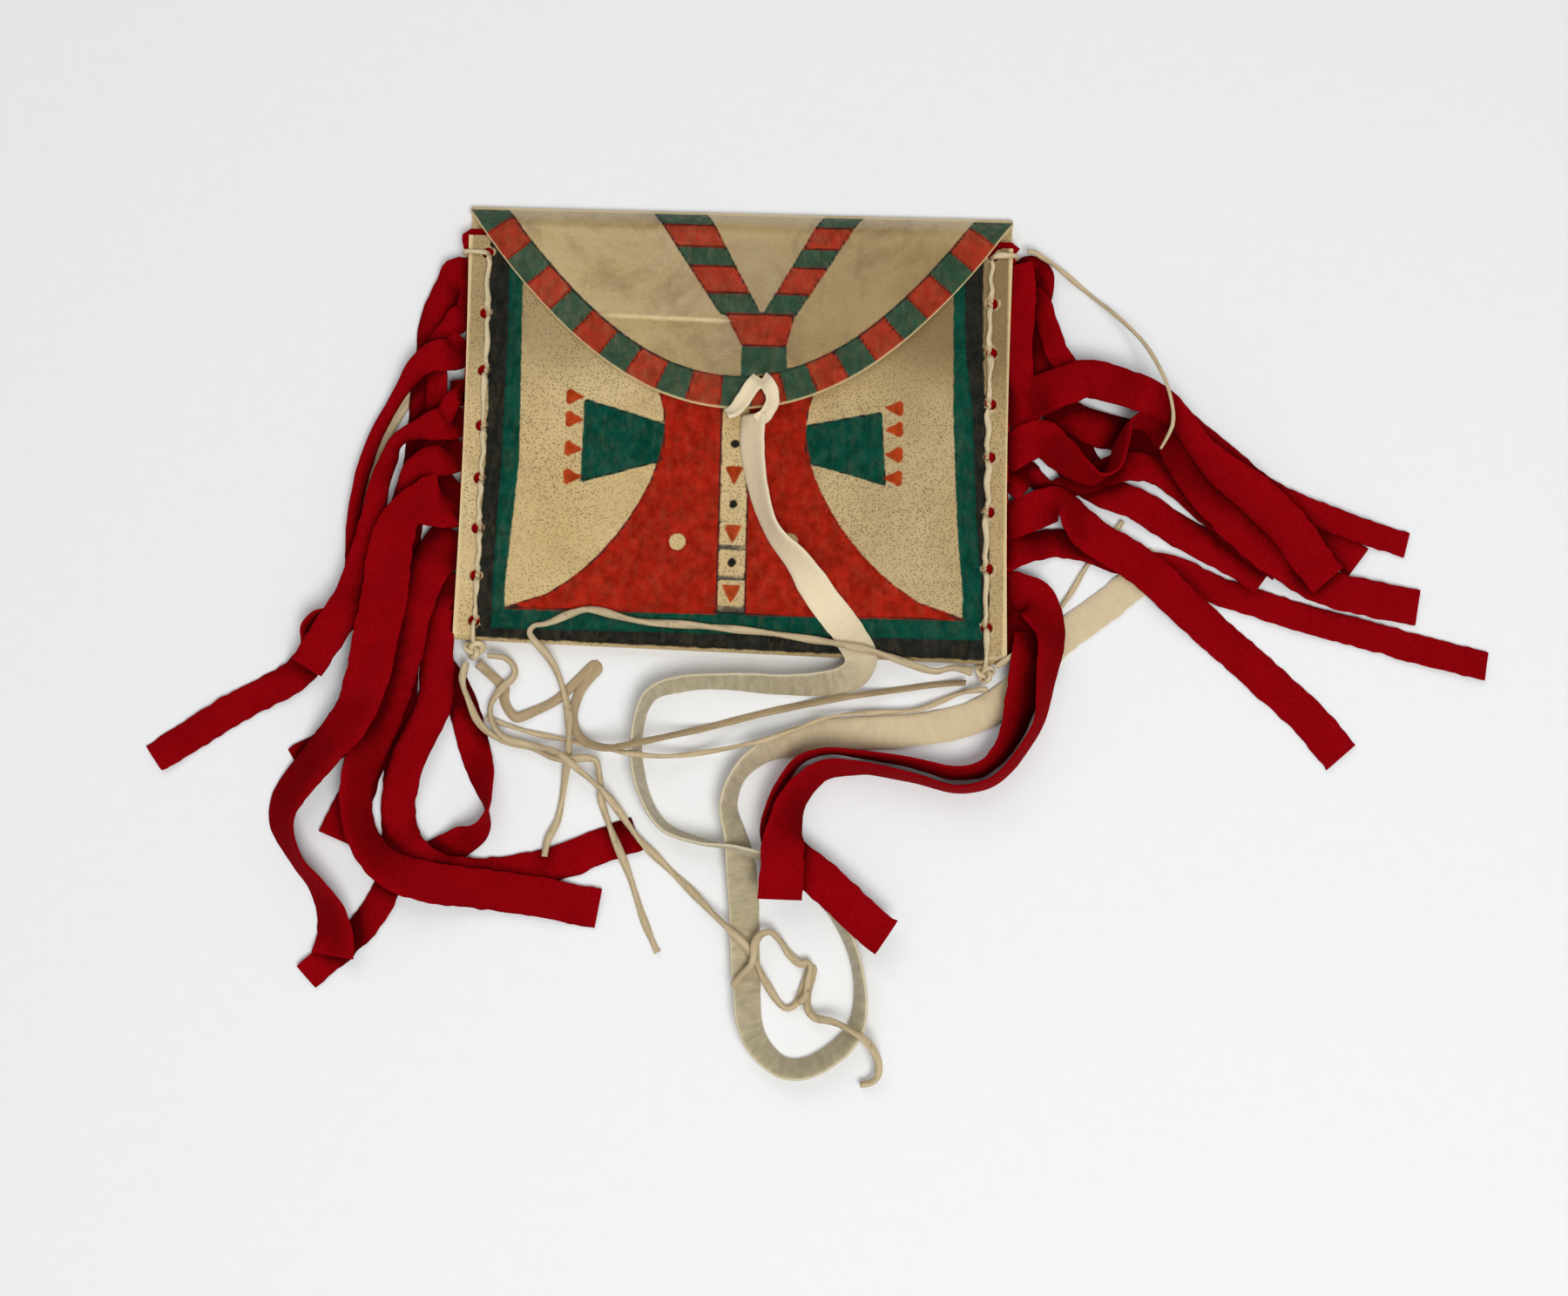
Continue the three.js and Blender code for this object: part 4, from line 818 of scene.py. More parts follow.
def polygon_distance(x, y, corners):
    corners = np.asarray(corners, float)
    nearest = np.full(len(x), np.inf)
    inside = np.zeros(len(x), bool)
    for (ax, ay), (bx, by) in zip(corners, np.roll(corners, -1, axis=0)):
        dx, dy = bx - ax, by - ay
        t = np.clip(((x - ax) * dx + (y - ay) * dy) / (dx * dx + dy * dy), 0, 1)
        nearest = np.minimum(nearest, np.hypot(x - ax - t * dx, y - ay - t * dy))
        crosses = (ay > y) != (by > y)
        inside ^= crosses & (x < dx * (y - ay) / (dy or 1.0) + ax)
    return np.where(inside, -nearest, nearest)


def dot_distance(x, y, cx, cy, radius):
    return np.hypot(x - cx, y - cy) - radius


def waisted_edge(side):
    """One side of the waisted red field, from its top corner down to its bottom corner."""
    corner, waist = WAISTED_FIELD[side]
    t = np.linspace(0, 1, 13)
    out = corner + (waist - corner) * (1 - t**1.6) ** (1 / 1.6)
    top = [(x, 0.5 + 50 * d) for x, d in zip(out[::-1], t[::-1])]
    low = [(x, -2.0 - 49.7 * d) for x, d in zip(out, t)]
    return top + low


def empty_paint(x):
    return {key: np.full(len(x), FAR) for key in ("red", "green", "black", "mark", "line")}


def add(paint, key, shape, outlined=False):
    """Join a shape to a field, with a drawn line round it if it is outlined."""
    paint[key] = np.minimum(paint[key], shape)
    if outlined:
        paint["line"] = np.minimum(paint["line"], np.abs(shape))


def front_paint(s, x, y):
    """Distances to the painted and drawn parts of the front panel."""
    paint = empty_paint(x)
    field = polygon_distance(x, y, waisted_edge(-1) + waisted_edge(1)[::-1])
    ladder = np.abs(x) - LADDER_HALF
    eyes = np.minimum(*(dot_distance(x, y, *eye) for eye in EYES))
    add(paint, "red", np.maximum(np.maximum(field, -ladder), -eyes))
    for line in (np.abs(field), np.abs(ladder) + np.maximum(field, 0), np.abs(eyes) + 0.12):
        add(paint, "line", line)
    for index, cy in enumerate(LADDER_CELLS):
        for rail in LADDER_RAILS:
            add(paint, "line", np.maximum(np.abs(y - cy + rail), ladder))
        if index % 2 == 0:
            add(paint, "black", dot_distance(x, y, 0, cy, 1.0))
        else:
            add(paint, "mark", polygon_distance(x, y, [(dx, cy + dy) for dx, dy in LADDER_MARK]))
    for corners in FRONT_TRAPEZOIDS:
        add(paint, "green", polygon_distance(x, y, corners), outlined=True)
    for cx, rows in SMALL_MARKS:
        side = math.copysign(1, cx)
        for cy in rows:
            add(paint, "mark", polygon_distance(x, y, [(cx + side * dx, cy + dy) for dx, dy in SMALL_MARK]))
            for lobe in SMALL_LOBES:
                add(paint, "mark", dot_distance(x, y, cx + 1.3 * side, cy + lobe, 0.85))
    sign = np.where(x < 0, -1, 1)
    past_bare, past_green, past_black = (
        sign * (x - np.where(x < 0, np.interp(y, BORDER_ROWS, left), np.interp(y, BORDER_ROWS, right)))
        for left, right in BORDER_EDGES)
    frame_in = np.maximum(past_bare, LOW_GREEN - y)
    frame_mid = np.maximum(past_green, LOW_BLACK - y)
    add(paint, "green", np.maximum(-frame_in, np.maximum(frame_mid, past_black)))
    bare_fold = bottom_y(s, x) + BARE_FOLD - y
    add(paint, "black", np.maximum(np.maximum(-frame_mid, past_black), bare_fold))
    return paint


def band_paint(s, x, y):
    """Distances to the red and green blocks of the flap and to their drawn lines."""
    paint = empty_paint(x)

    def block(index, shape):
        add(paint, "red" if index % 2 else "green", shape, outlined=True)

    ex = np.linspace(-s.half, s.half, 500)
    ey = flap_edge(s, ex)
    run = distances(np.stack([ex, ey], 1))
    away = np.hypot(x[:, None] - ex, y[:, None] - ey)
    place = run[away.argmin(axis=1)]
    band = away.min(axis=1) - BAND_DEPTH
    ends = np.linspace(0, run[-1], BAND_BLOCKS + 1)
    for i, (start, end) in enumerate(zip(ends, ends[1:])):
        block(i, np.maximum(band, np.abs(place - (start + end) / 2) - (end - start) / 2))
    for left, right in FLAP_ARMS:
        for i, (top, low) in enumerate(zip(ARM_ROWS, ARM_ROWS[1:])):
            corners = [(mix(*edge, (ARM_ROWS[0] - row) / (ARM_ROWS[0] - ARM_ROWS[-1])), row)
                       for edge, row in ((left, top), (right, top), (right, low), (left, low))]
            block(i, np.maximum(polygon_distance(x, y, corners), -band))
    block(1, polygon_distance(x, y, ARM_FOOT))
    block(0, np.maximum(polygon_distance(x, y, ARM_STEM), -band))
    return paint


# Materials

class Graph:
    """A material's node tree, built by hand."""

    def __init__(self, name):
        self.material = bpy.data.materials.new(name)
        self.material.use_nodes = True
        self.tree = self.material.node_tree
        self.tree.nodes.clear()
        self.shader = self.tree.nodes.new("ShaderNodeBsdfPrincipled")
        self.node("ShaderNodeOutputMaterial", {"Surface": self.shader.outputs[0]})
        self.place = self.node("ShaderNodeTexCoord").outputs["Object"]

    def link(self, value, socket):
        if isinstance(value, bpy.types.NodeSocket):
            self.tree.links.new(value, socket)
        else:
            socket.default_value = value

    def node(self, kind, inputs=None, **values):
        made = self.tree.nodes.new(kind)
        for key, value in values.items():
            setattr(made, key, value)
        for key, value in (inputs or {}).items():
            self.link(value, made.inputs[key])
        return made

    def math(self, operation, a, b=0.0, clamp=False):
        return self.node("ShaderNodeMath", {0: a, 1: b}, operation=operation, use_clamp=clamp).outputs[0]

    def times(self, a, b):
        return self.math("MULTIPLY", a, b)

    def ramp(self, value, low, high, to_low=0.0, to_high=1.0):
        inputs = {"Value": value, "From Min": low, "From Max": high, "To Min": to_low, "To Max": to_high}
        return self.node("ShaderNodeMapRange", inputs, clamp=True).outputs[0]

    def blend(self, factor, a, b):
        made = self.node("ShaderNodeMix", data_type="RGBA")
        self.link(factor, made.inputs[0])
        for value, socket in ((a, made.inputs[6]), (b, made.inputs[7])):
            self.link(value if isinstance(value, bpy.types.NodeSocket) else (*value, 1.0), socket)
        return made.outputs[2]

    def stretch(self, scale, turn=(0, 0, 0), source=None):
        inputs = {"Vector": source or self.place, "Scale": scale, "Rotation": turn}
        return self.node("ShaderNodeMapping", inputs).outputs[0]

    def noise(self, scale, detail=3.0, rough=0.55, source=None, lumps=0.0):
        inputs = {"Vector": source or self.place, "Scale": scale, "Detail": detail, "Roughness": rough,
                  "Distortion": lumps}
        return self.node("ShaderNodeTexNoise", inputs).outputs["Fac"]

    def cells(self, scale):
        return self.node("ShaderNodeTexVoronoi", {"Vector": self.place, "Scale": scale}).outputs["Distance"]

    def attribute(self, name):
        return self.node("ShaderNodeAttribute", attribute_name=name).outputs["Fac"]

    def bump(self, height, strength, distance, below=None):
        inputs = {"Height": height, "Strength": strength, "Distance": distance}
        if below is not None:
            inputs["Normal"] = below
        return self.node("ShaderNodeBump", inputs).outputs[0]

    def finish(self, **sockets):
        for key, value in sockets.items():
            self.link(value, self.shader.inputs[key.replace("_", " ")])
        return self.material


def toned(base, factor, lift=0.0):
    """A colour made darker or lighter."""
    return tuple(min(1.0, c * factor + lift) for c in base)


def hide_material(name, s, painted, stained, speckled, veil=0.0, polish=0.0):
    """Dried hide with its stipple and stains; a veil lets the hide show through its paint."""
    g, hide = Graph(name), s.hide
    broad = g.noise(28, 4, 0.6)
    tone = g.blend(g.ramp(broad, 0.36, 0.70), hide.tan, hide.pale)
    if painted:
        tone = g.blend(g.times(g.attribute("age"), 0.8), tone, hide.aged)
    blotch = g.noise(65, 6, 0.68, lumps=0.8)
    tone = g.blend(g.ramp(blotch, 0.50, 0.74, 0, stained), tone, hide.stain)
    smudge = g.noise(38, 6, 0.72, lumps=0.5)
    tone = g.blend(g.ramp(smudge, 0.50, 0.66, 0, 0.9 * stained), tone, hide.smudge)
    pores = g.ramp(g.cells(1500), 0.16, 0.44, 1, 0)
    where = g.ramp(g.noise(45, 3), 0.30, 0.60, 0.5, 1)
    tone = g.blend(g.times(g.times(pores, where), speckled), tone, hide.stain)
    grain = g.noise(2600, 3, 0.6)
    tone = g.blend(g.ramp(grain, 0.3, 0.7, 0, 0.14), tone, hide.stain)
    rough = g.ramp(broad, 0.3, 0.7, 0.26 - polish, 0.38 - polish)
    shine = 0.3
    if painted:
        wobble = g.times(g.math("SUBTRACT", g.noise(420, 3, 0.6), 0.5), 0.8)
        wash = g.ramp(g.noise(330, 3, 0.6), 0.35, 0.68)
        streak = g.noise(520, 4, 0.65, source=g.stretch((1, 0.4, 1), (0, 0, 0.35)))
        total = 0.0
        for key, thin in (("black", 0.05), ("green", 0.05), ("red", 0.04), ("mark", 0.05)):
            mask = g.ramp(g.math("ADD", g.attribute(key), wobble), 0.08, 0.5, 1, 0)
            cover = g.times(mask, g.ramp(streak, 0.28, 0.55, 1 - thin - 2 * veil, 1.0 - veil))
            paint = getattr(hide, key)
            tone = g.blend(cover, tone, g.blend(wash, toned(paint, 0.7), toned(paint, 1.22, 0.001)))
            total = g.math("ADD", total, cover, clamp=True)
        drawn = g.ramp(g.math("ADD", g.attribute("line"), g.times(wobble, 0.25)), 0.16, 0.42, 0.9, 0)
        drawn = g.times(drawn, g.ramp(g.noise(320, 3), 0.32, 0.5, 0.45, 1))
        tone = g.blend(drawn, tone, hide.black)
        # Pale with wear at edges and hole rims, and painted highlight along the flap's crease and across its
        # left half.
        worn = g.math("ADD", g.attribute("worn"), g.times(wobble, 0.6))
        tone = g.blend(g.ramp(worn, 0.1, 0.75, 0.85, 0), tone, hide.pale)
        rough = g.math("ADD", rough, g.times(total, 0.14))
        shine = g.ramp(total, 0, 1, shine, 0.0)
    waves = g.bump(broad, 0.35, 0.002)
    pits = g.bump(pores, -0.25, 0.0002, waves)
    fine = g.bump(grain, 0.3, 0.00012, pits)
    return g.finish(Base_Color=tone, Roughness=rough, Normal=fine, Specular_IOR_Level=shine)


def edge_material(s):
    g = Graph("cut_rawhide_edge")
    layers = g.noise(900, 4, 0.7, source=g.stretch((1, 1, 3)))
    tone = g.blend(g.ramp(layers, 0.3, 0.7), s.hide.pale, s.hide.tan)
    return g.finish(Base_Color=tone, Roughness=0.6, Normal=g.bump(layers, 0.4, 0.0002))


def wool_material(s):
    """Napped cloth, with shade painted in where it lies deep between other strands."""
    g, wool = Graph("red_wool_cloth"), s.fringe.wool
    fibre = g.noise(1500, 5, 0.75, lumps=1.2)
    weave = {"Vector": g.stretch((1, 1, 1), (0, 0, 0.6)), "Scale": 320.0, "Distortion": 3.0, "Detail": 2.0,
             "Detail Scale": 2.0}
    twill = g.node("ShaderNodeTexWave", weave).outputs["Fac"]
    dark = toned(wool, 0.55)
    light = (min(1, wool[0] * 1.25), wool[1] + 0.002, wool[2] + 0.005)
    tone = g.blend(g.ramp(fibre, 0.3, 0.75), dark, light)
    tone = g.blend(g.ramp(g.noise(70, 3), 0.35, 0.7, 0, 0.35), tone, dark)
    # Painted shade: the wool is darkened where other strands are heaped round it.
    tone = g.blend(g.ramp(g.attribute("deep"), 0.06, 0.42, 0, 0.88), tone, toned(wool, 0.15))
    nap = g.bump(fibre, 0.6, 0.0004, g.bump(twill, 0.18, 0.0002))
    return g.finish(Base_Color=tone, Roughness=0.95, Normal=nap, Specular_IOR_Level=0.02)


def lace_material(name, s, strength, fleck, warm=1.0):
    """Streaked hide lace with dark flecks; warm below one takes blue out of it."""
    g = Graph(name)
    lace = [c * strength * warm**k for k, c in enumerate(s.lace.rawhide_lace)]
    along = g.node("ShaderNodeUVMap").outputs["UV"]
    streak = g.noise(700, 5, 0.7, source=g.stretch((1, 0.12, 1), source=along))
    tone = g.blend(g.ramp(streak, 0.3, 0.7), toned(lace, 0.72), toned(lace, 1.18))
    tone = g.blend(g.ramp(g.noise(420, 4, 0.7), 0.60, 0.72, 0, fleck), tone, FLECK)
    return g.finish(Base_Color=tone, Roughness=0.62, Normal=g.bump(streak, 0.6, 0.0003),
                    Specular_IOR_Level=0.35)


def buckskin_material(s, end):
    """Napped skin, cream over its last part and greyer before it; end is its length in millimetres."""
    g, skin = Graph("napped_buckskin"), s.lace.buckskin
    along = g.node("ShaderNodeUVMap").outputs["UV"]
    place = g.node("ShaderNodeSeparateXYZ", {"Vector": along}).outputs
    wrinkle = g.noise(520, 4, 0.65, source=g.stretch((0.35, 1, 1), source=along))
    grey = (skin[0] * 0.85, skin[1] * 0.9, skin[2] * 0.72)
    tone = g.blend(g.ramp(wrinkle, 0.35, 0.7), toned(skin, 0.74), toned(skin, 1.12))
    tone = g.blend(g.ramp(g.noise(60, 3), 0.4, 0.7, 0, 0.4), tone, grey)
    tone = g.blend(g.times(g.ramp(place["Y"], (end - 85) * MM, (end - 60) * MM), 0.85), tone, CREAM)
    tone = g.blend(g.ramp(place["Y"], 0.09, 0.15, 0.65, 0), tone, STRAW)
    tone = g.blend(g.ramp(g.math("ABSOLUTE", place["X"]), 0.0041, 0.0044, 0, 0.5), tone, SKIN_EDGE)
    nap = g.bump(g.noise(2600, 4, 0.7), 0.4, 0.0002, g.bump(wrinkle, 0.55, 0.0004))
    return g.finish(Base_Color=tone, Roughness=0.92, Normal=nap, Sheen_Weight=0.25, Sheen_Roughness=0.5,
                    Specular_IOR_Level=0.2)


def floor_material(s):
    g, base = Graph("pale_floor"), s.stage.floor
    tone = g.blend(g.ramp(g.noise(220, 4, 0.6), 0.35, 0.65), toned(base, 0.985), tuple(base))
    return g.finish(Base_Color=tone, Roughness=0.85, Specular_IOR_Level=0.2)


def dress(obj, *materials):
    obj.data.materials.clear()
    for material in materials:
        obj.data.materials.append(material)


def column_x(s, u):
    """Place across the sheet of a grid column, with the columns closer near the edges."""
    return s.half * (1.12 * u - 0.12 * u**3)


class ENVELOPE_OT_sheet(bpy.types.Operator):
    """Model the folded and painted rawhide sheet"""

    bl_idname = "envelope.sheet"
    bl_label = "Folded sheet"

    def execute(self, context):
        s = settings()
        holes = [(side * s.hole_x, y) for side in (-1, 1) for y in hole_rows(s, side)]

        def rim_distance(x, y):
            return np.min([np.hypot(x - hx, y - hy) for hx, hy in holes], axis=0) - s.hole / 2

        def place(u, v):
            x = column_x(s, u)
            fy, fz, radius = fold_at(s, x)
            y_back = mix(s.back_top, fy, np.clip(v / BACK_SHARE, 0, 1) ** 1.6)
            bend = math.pi * (1.5 - np.clip((v - BACK_SHARE) / (FOLD_SHARE - BACK_SHARE), 0, 1))
            t = np.clip((v - FOLD_SHARE) / (1 - FOLD_SHARE), 0, 1)
            y_front = mix(fy, s.mouth_y, t)
            on_back, on_front = v <= BACK_SHARE, v >= FOLD_SHARE
            y = np.where(on_back, y_back, np.where(on_front, y_front, fy + radius * np.cos(bend)))
            z = np.where(on_back, back_mid(s, x, y),
                         np.where(on_front, front_mid(s, x, y), fz + radius * np.sin(bend)))
            waves = 0.22 * cockle(x, y, SHEET_SEED) * (1 - seam_share(s, x)) * smooth(t, 0, 0.1)
            rims = 0.45 * np.exp(-((rim_distance(x, y) - 0.2) / 0.7) ** 2)
            z = z + np.where(on_front, waves, 0) + np.where(on_front, rims, 0)
            x = x * (1 - WAIST * np.sin(math.pi * np.clip((y + s.height / 2) / s.height, 0, 1)))
            return np.stack([x, y, z], 1)

        def floats(x, y, v):
            paint = front_paint(s, x, y)
            behind = v < (BACK_SHARE + FOLD_SHARE) / 2
            # Pale with wear round the lacing holes and along the side edges.
            paint["worn"] = np.minimum(rim_distance(x, y), s.half * (1 - WAIST) - np.abs(x))
            made = {key: np.where(behind, FAR, value) for key, value in paint.items()}
            made["age"] = 0.5 * smooth(x, -30, 62) + 0.82 * smooth(y + 14 * np.abs(x) / s.half, 12, 40)
            return made

        sheet = grid_object("rawhide_sheet", *SHEET_GRID, place, floats)
        make_sheet(sheet, holes, s.hole, s.raw,
                   hide_material("painted_rawhide", s, painted=True, stained=0.2, speckled=0.95),
                   hide_material("bare_rawhide", s, painted=False, stained=0.2, speckled=0.4),
                   edge_material(s))
        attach(sheet, "envelope")
        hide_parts("rawhide_envelope")
        return {"FINISHED"}


class ENVELOPE_OT_flap(bpy.types.Operator):
    """Model the creased flap with its painted bands"""

    bl_idname = "envelope.flap"
    bl_label = "Flap"

    def execute(self, context):
        s = settings()
        roll = s.crease - s.raw / 2
        leave = math.radians(LEAVE_ANGLE)
        land = s.mouth_y + LANDS_AT

        def place(u, v):
            x = column_x(s, u)
            run = s.axis_y - s.back_top
            step = np.clip(v / TURN_SHARE, 0, 1) * (run + roll * (leave + math.pi / 2))
            bend = np.clip((step - run) / roll - math.pi / 2, -math.pi / 2, leave)
            y_roll = np.where(step < run, s.back_top + step, s.axis_y + roll * np.cos(bend))
            z_roll = np.where(step < run, s.raw / 2, s.crease + roll * np.sin(bend))
            y_top, z_top = s.axis_y + roll * math.cos(leave), s.crease + roll * math.sin(leave)
            y_panel = mix(y_top, flap_edge(s, x), np.clip((v - TURN_SHARE) / (1 - TURN_SHARE), 0, 1))
            rise = np.clip((y_top - y_panel) / (y_top - land), 0, 1)
            rise = 1.5 * rise - 0.5 * rise**3
            z_panel = mix(z_top, flap_mid(s, x, np.minimum(y_panel, land)), rise)
            waves = (cockle(x, y_panel, FLAP_SEED) + 1) * smooth(s.mouth_y - y_panel, 0, 12)
            ridge = np.exp(-(highlight_line(x, y_panel) / 2.4) ** 2) * smooth(x, -55, -35) * smooth(-x, -8, 10)
            z_panel = z_panel + 0.16 * waves + 0.22 * ridge
            rolled = v <= TURN_SHARE
            return np.stack([x, np.where(rolled, y_roll, y_panel), np.where(rolled, z_roll, z_panel)], 1)

        def floats(x, y, v):
            paint = band_paint(s, x, y)
            behind = v < TURN_SHARE * 0.75
            # Painted highlight: a pale line across the left half of the flap and a pale band along the
            # crease; the tip's edge is pale with wear.
            line = 0.9 * np.abs(highlight_line(x, y)) + 1 - smooth(x, -46, -32) * smooth(-x, -6, 8)
            paint["worn"] = np.minimum(np.minimum(y - flap_edge(s, x), 1.2 * (s.axis_y - y)), line)
            made = {key: np.where(behind, FAR, value) for key, value in paint.items()}
            made["age"] = 0.42 + 0.45 * smooth(x + 0.4 * y, -50, 30) * smooth(s.axis_y - y, 0, 12)
            return made

        # The grid is drawn inside out, so its first material is the inside's.
        flap = grid_object("rawhide_flap", *FLAP_GRID, place, floats)
        make_sheet(flap, [s.tie_hole], TIE_HOLE[2], s.raw * FLAP_THINNED,
                   hide_material("bare_flap", s, painted=False, stained=0.3, speckled=0.3),
                   hide_material("painted_flap", s, painted=True, stained=0.65, speckled=0.3, veil=0.08,
                                 polish=0.2), edge_material(s))
        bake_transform(flap)
        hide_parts("flap")
        return {"FINISHED"}


class ENVELOPE_OT_tie(bpy.types.Operator):
    """Model the thong: its loop through the flap and its long tail"""

    bl_idname = "envelope.tie"
    bl_label = "Tie"

    def execute(self, context):
        s = settings()
        rng = np.random.default_rng(TIE_SEED)
        p = layout(s)["tie"]
        skin = buckskin_material(s, float(p.far[-1]))
        tail = mesh_object("thong_tail", *ribbon(p, s.tie_w, s.tie_t, rng, ragged=0.12, cup=0.3))
        dress(tail, skin)
        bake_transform(tail)
        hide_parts("tie_tail")
        hx, hy = s.tie_hole
        over = s.raw / 2 + 0.15 + s.tie_t / 2
        legs = []
        for width, route in LOOP_LEGS:
            q = route_samples([(hx + x, hy + y, tilt) for x, y, tilt in route], 0.5)
            q.z = flap_mid(s, q.x, np.maximum(q.y, s.tip_y)) + over - 0.12 * np.maximum(0, s.tip_y - q.y)
            q.z = q.z + 0.9 * np.exp(-((q.far - 4) / 3) ** 2)  # a hump beside the hole
            q.z = q.z - 1.8 * np.exp(-(q.far / 1.4) ** 2)  # down into the hole
            q.z = q.z + width / 2 * np.abs(np.sin(q.tilt))
            legs.append(ribbon(q, width, s.tie_t, rng, ragged=0.1, cup=0.5))
        points, faces, chart = joined(legs)
        chart[:, 1] += p.far[-1]
        knot = mesh_object("thong_loop", points, faces, chart)
        dress(knot, skin)
        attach(knot, "flap")
        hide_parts("tie_knot")
        return {"FINISHED"}


class ENVELOPE_OT_fringe(bpy.types.Operator):
    """Model the wool headers in the seams and the strands that leave them"""

    bl_idname = "envelope.fringe"
    bl_label = "Fringe"

    def execute(self, context):
        s = settings()
        wool = wool_material(s)
        for side, name, strands in ((-1, "left", LEFT_STRANDS), (1, "right", RIGHT_STRANDS)):
            rng = np.random.default_rng(FRINGE_SEED + side)
            top, low = s.mouth_y + HEADER_ENDS[0], header_low(s, side)
            parts, area = [header_sheet(s, side, top, low)], s.header * (top - low)
            deep = [np.zeros(len(parts[0][0]))]
            paths = [(width, with_root(layout(s)[side, root])) for root, width, _ in strands]
            paths += [(RIGHT_BAND[0], layout(s)["band"])] if side > 0 else []
            for width, p in paths:
                verts, faces, chart = ribbon(p, width, s.cloth, rng, ragged=0.22, cup=rng.uniform(-0.4, 0.4),
                                             skew=rng.uniform(-0.25, 0.25))
                if side < 0:
                    tuck(s, side, verts)
                parts.append((verts, faces, chart))
                area += width * p.far[-1]
                # Painted shade for the wool: how far each point lies in the shelter of the heaped strands,
                # less where the strand stands on edge.
                flat = np.repeat(np.cos(p.tilt) ** 2, len(verts) // len(p.x))
                deep.append(layout(s)["pile"].shelter(s, verts) * flat)
            cloth = mesh_object(f"{name}_wool_fringe", *joined(parts), {"deep": np.concatenate(deep)})
            dress(cloth, wool)
            soften(cloth, 38)
            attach(cloth, "envelope")
            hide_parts(f"{name}_fringe")
            flat = ((top - low) * MM, (s.header + STRAND_LENGTH) * MM)
        return {"FINISHED"}


def with_root(p):
    """A strand's path with a short root added back into the seam."""
    p = SimpleNamespace(**{key: np.concatenate([np.repeat(value[:1], 4), value])
                           for key, value in vars(p).items()})
    dx, dy = p.x[5] - p.x[4], p.y[5] - p.y[4]
    run = np.hypot(dx, dy)
    ahead = np.linspace(-4, -1, 4) * abs(dx) / run
    p.x[:4] = p.x[4] + ahead * dx / run
    p.y[:4] = p.y[4] + ahead * dy / run
    p.far = distances(np.stack([p.x, p.y], 1))
    return p


def tuck(s, side, verts):
    """Press the points of a strand that lie between the panels into the seam."""
    x, y, z = verts.T
    mid = cloth_mid(s, x, y)
    inside = (side * x < s.half + 0.2) & (y > bottom_y(s, x) + 2)
    verts[:, 2] = np.where(inside, np.clip(z, mid - s.cloth / 2, mid + s.cloth / 2), z)


def header_sheet(s, side, top, low):
    """Points, faces and map of the cloth caught in one seam, with a tab beside the top wrap."""
    rows, columns = 14, 60
    ys = np.linspace(low, top, columns)
    wrap = hole_rows(s, side)[0]
    tab = 2.2 * smooth(ys, wrap - 3, wrap - 1) * smooth(top - ys, 0, 1.5)
    tab = tab * (1 - np.exp(-((ys - wrap) / 1.4) ** 2))
    inner = s.half - s.header
    gx = side * (inner + np.linspace(0, 1, rows)[:, None] * (s.half - 0.3 + tab - inner)[None])
    gy = np.broadcast_to(ys, gx.shape)
    mid = cloth_mid(s, gx, gy)
    layers = [np.stack([gx, gy, mid + sign * s.cloth * 0.42], -1).reshape(-1, 3) for sign in (1, -1)]
    count = rows * columns
    at = np.arange(count).reshape(rows, columns).tolist()
    faces = []
    for i in range(rows - 1):
        for j in range(columns - 1):
            quad = [at[i][j], at[i + 1][j], at[i + 1][j + 1], at[i][j + 1]]
            faces += [quad, [count + k for k in quad[::-1]]]
    rim = ([row[0] for row in at] + at[-1][1:] + [row[-1] for row in at[-2::-1]] + at[0][-2:0:-1])
    faces += [[a, count + a, count + b, b] for a, b in zip(rim, rim[1:] + rim[:1])]
    if side < 0:
        faces = [face[::-1] for face in faces]
    return np.vstack(layers), faces, np.vstack([np.stack([gx, gy], -1).reshape(-1, 2)] * 2)


class ENVELOPE_OT_lacing(bpy.types.Operator):
    """Model the lacing of both seams with its knots"""

    bl_idname = "envelope.lacing"
    bl_label = "Lacing"

    def execute(self, context):
        s = settings()
        material = lace_material("twisted_rawhide_lace", s, strength=1.05, fleck=0.35)
        for side, name in ((-1, "left"), (1, "right")):
            rng = np.random.default_rng(LACING_SEED + side)
            parts = [twisted_tube(*resample(path, 0.5), s.lace_d * 0.86, s.lace_d * 0.6, LACE_TWIST, rng,
                                  sides=10, rough=0.1) for path in lacing_paths(s, side)]
            lacing = mesh_object(f"{name}_lacing", *joined(parts))
            dress(lacing, material)
            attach(lacing, "envelope")
            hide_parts(f"{name}_lace")
        return {"FINISHED"}


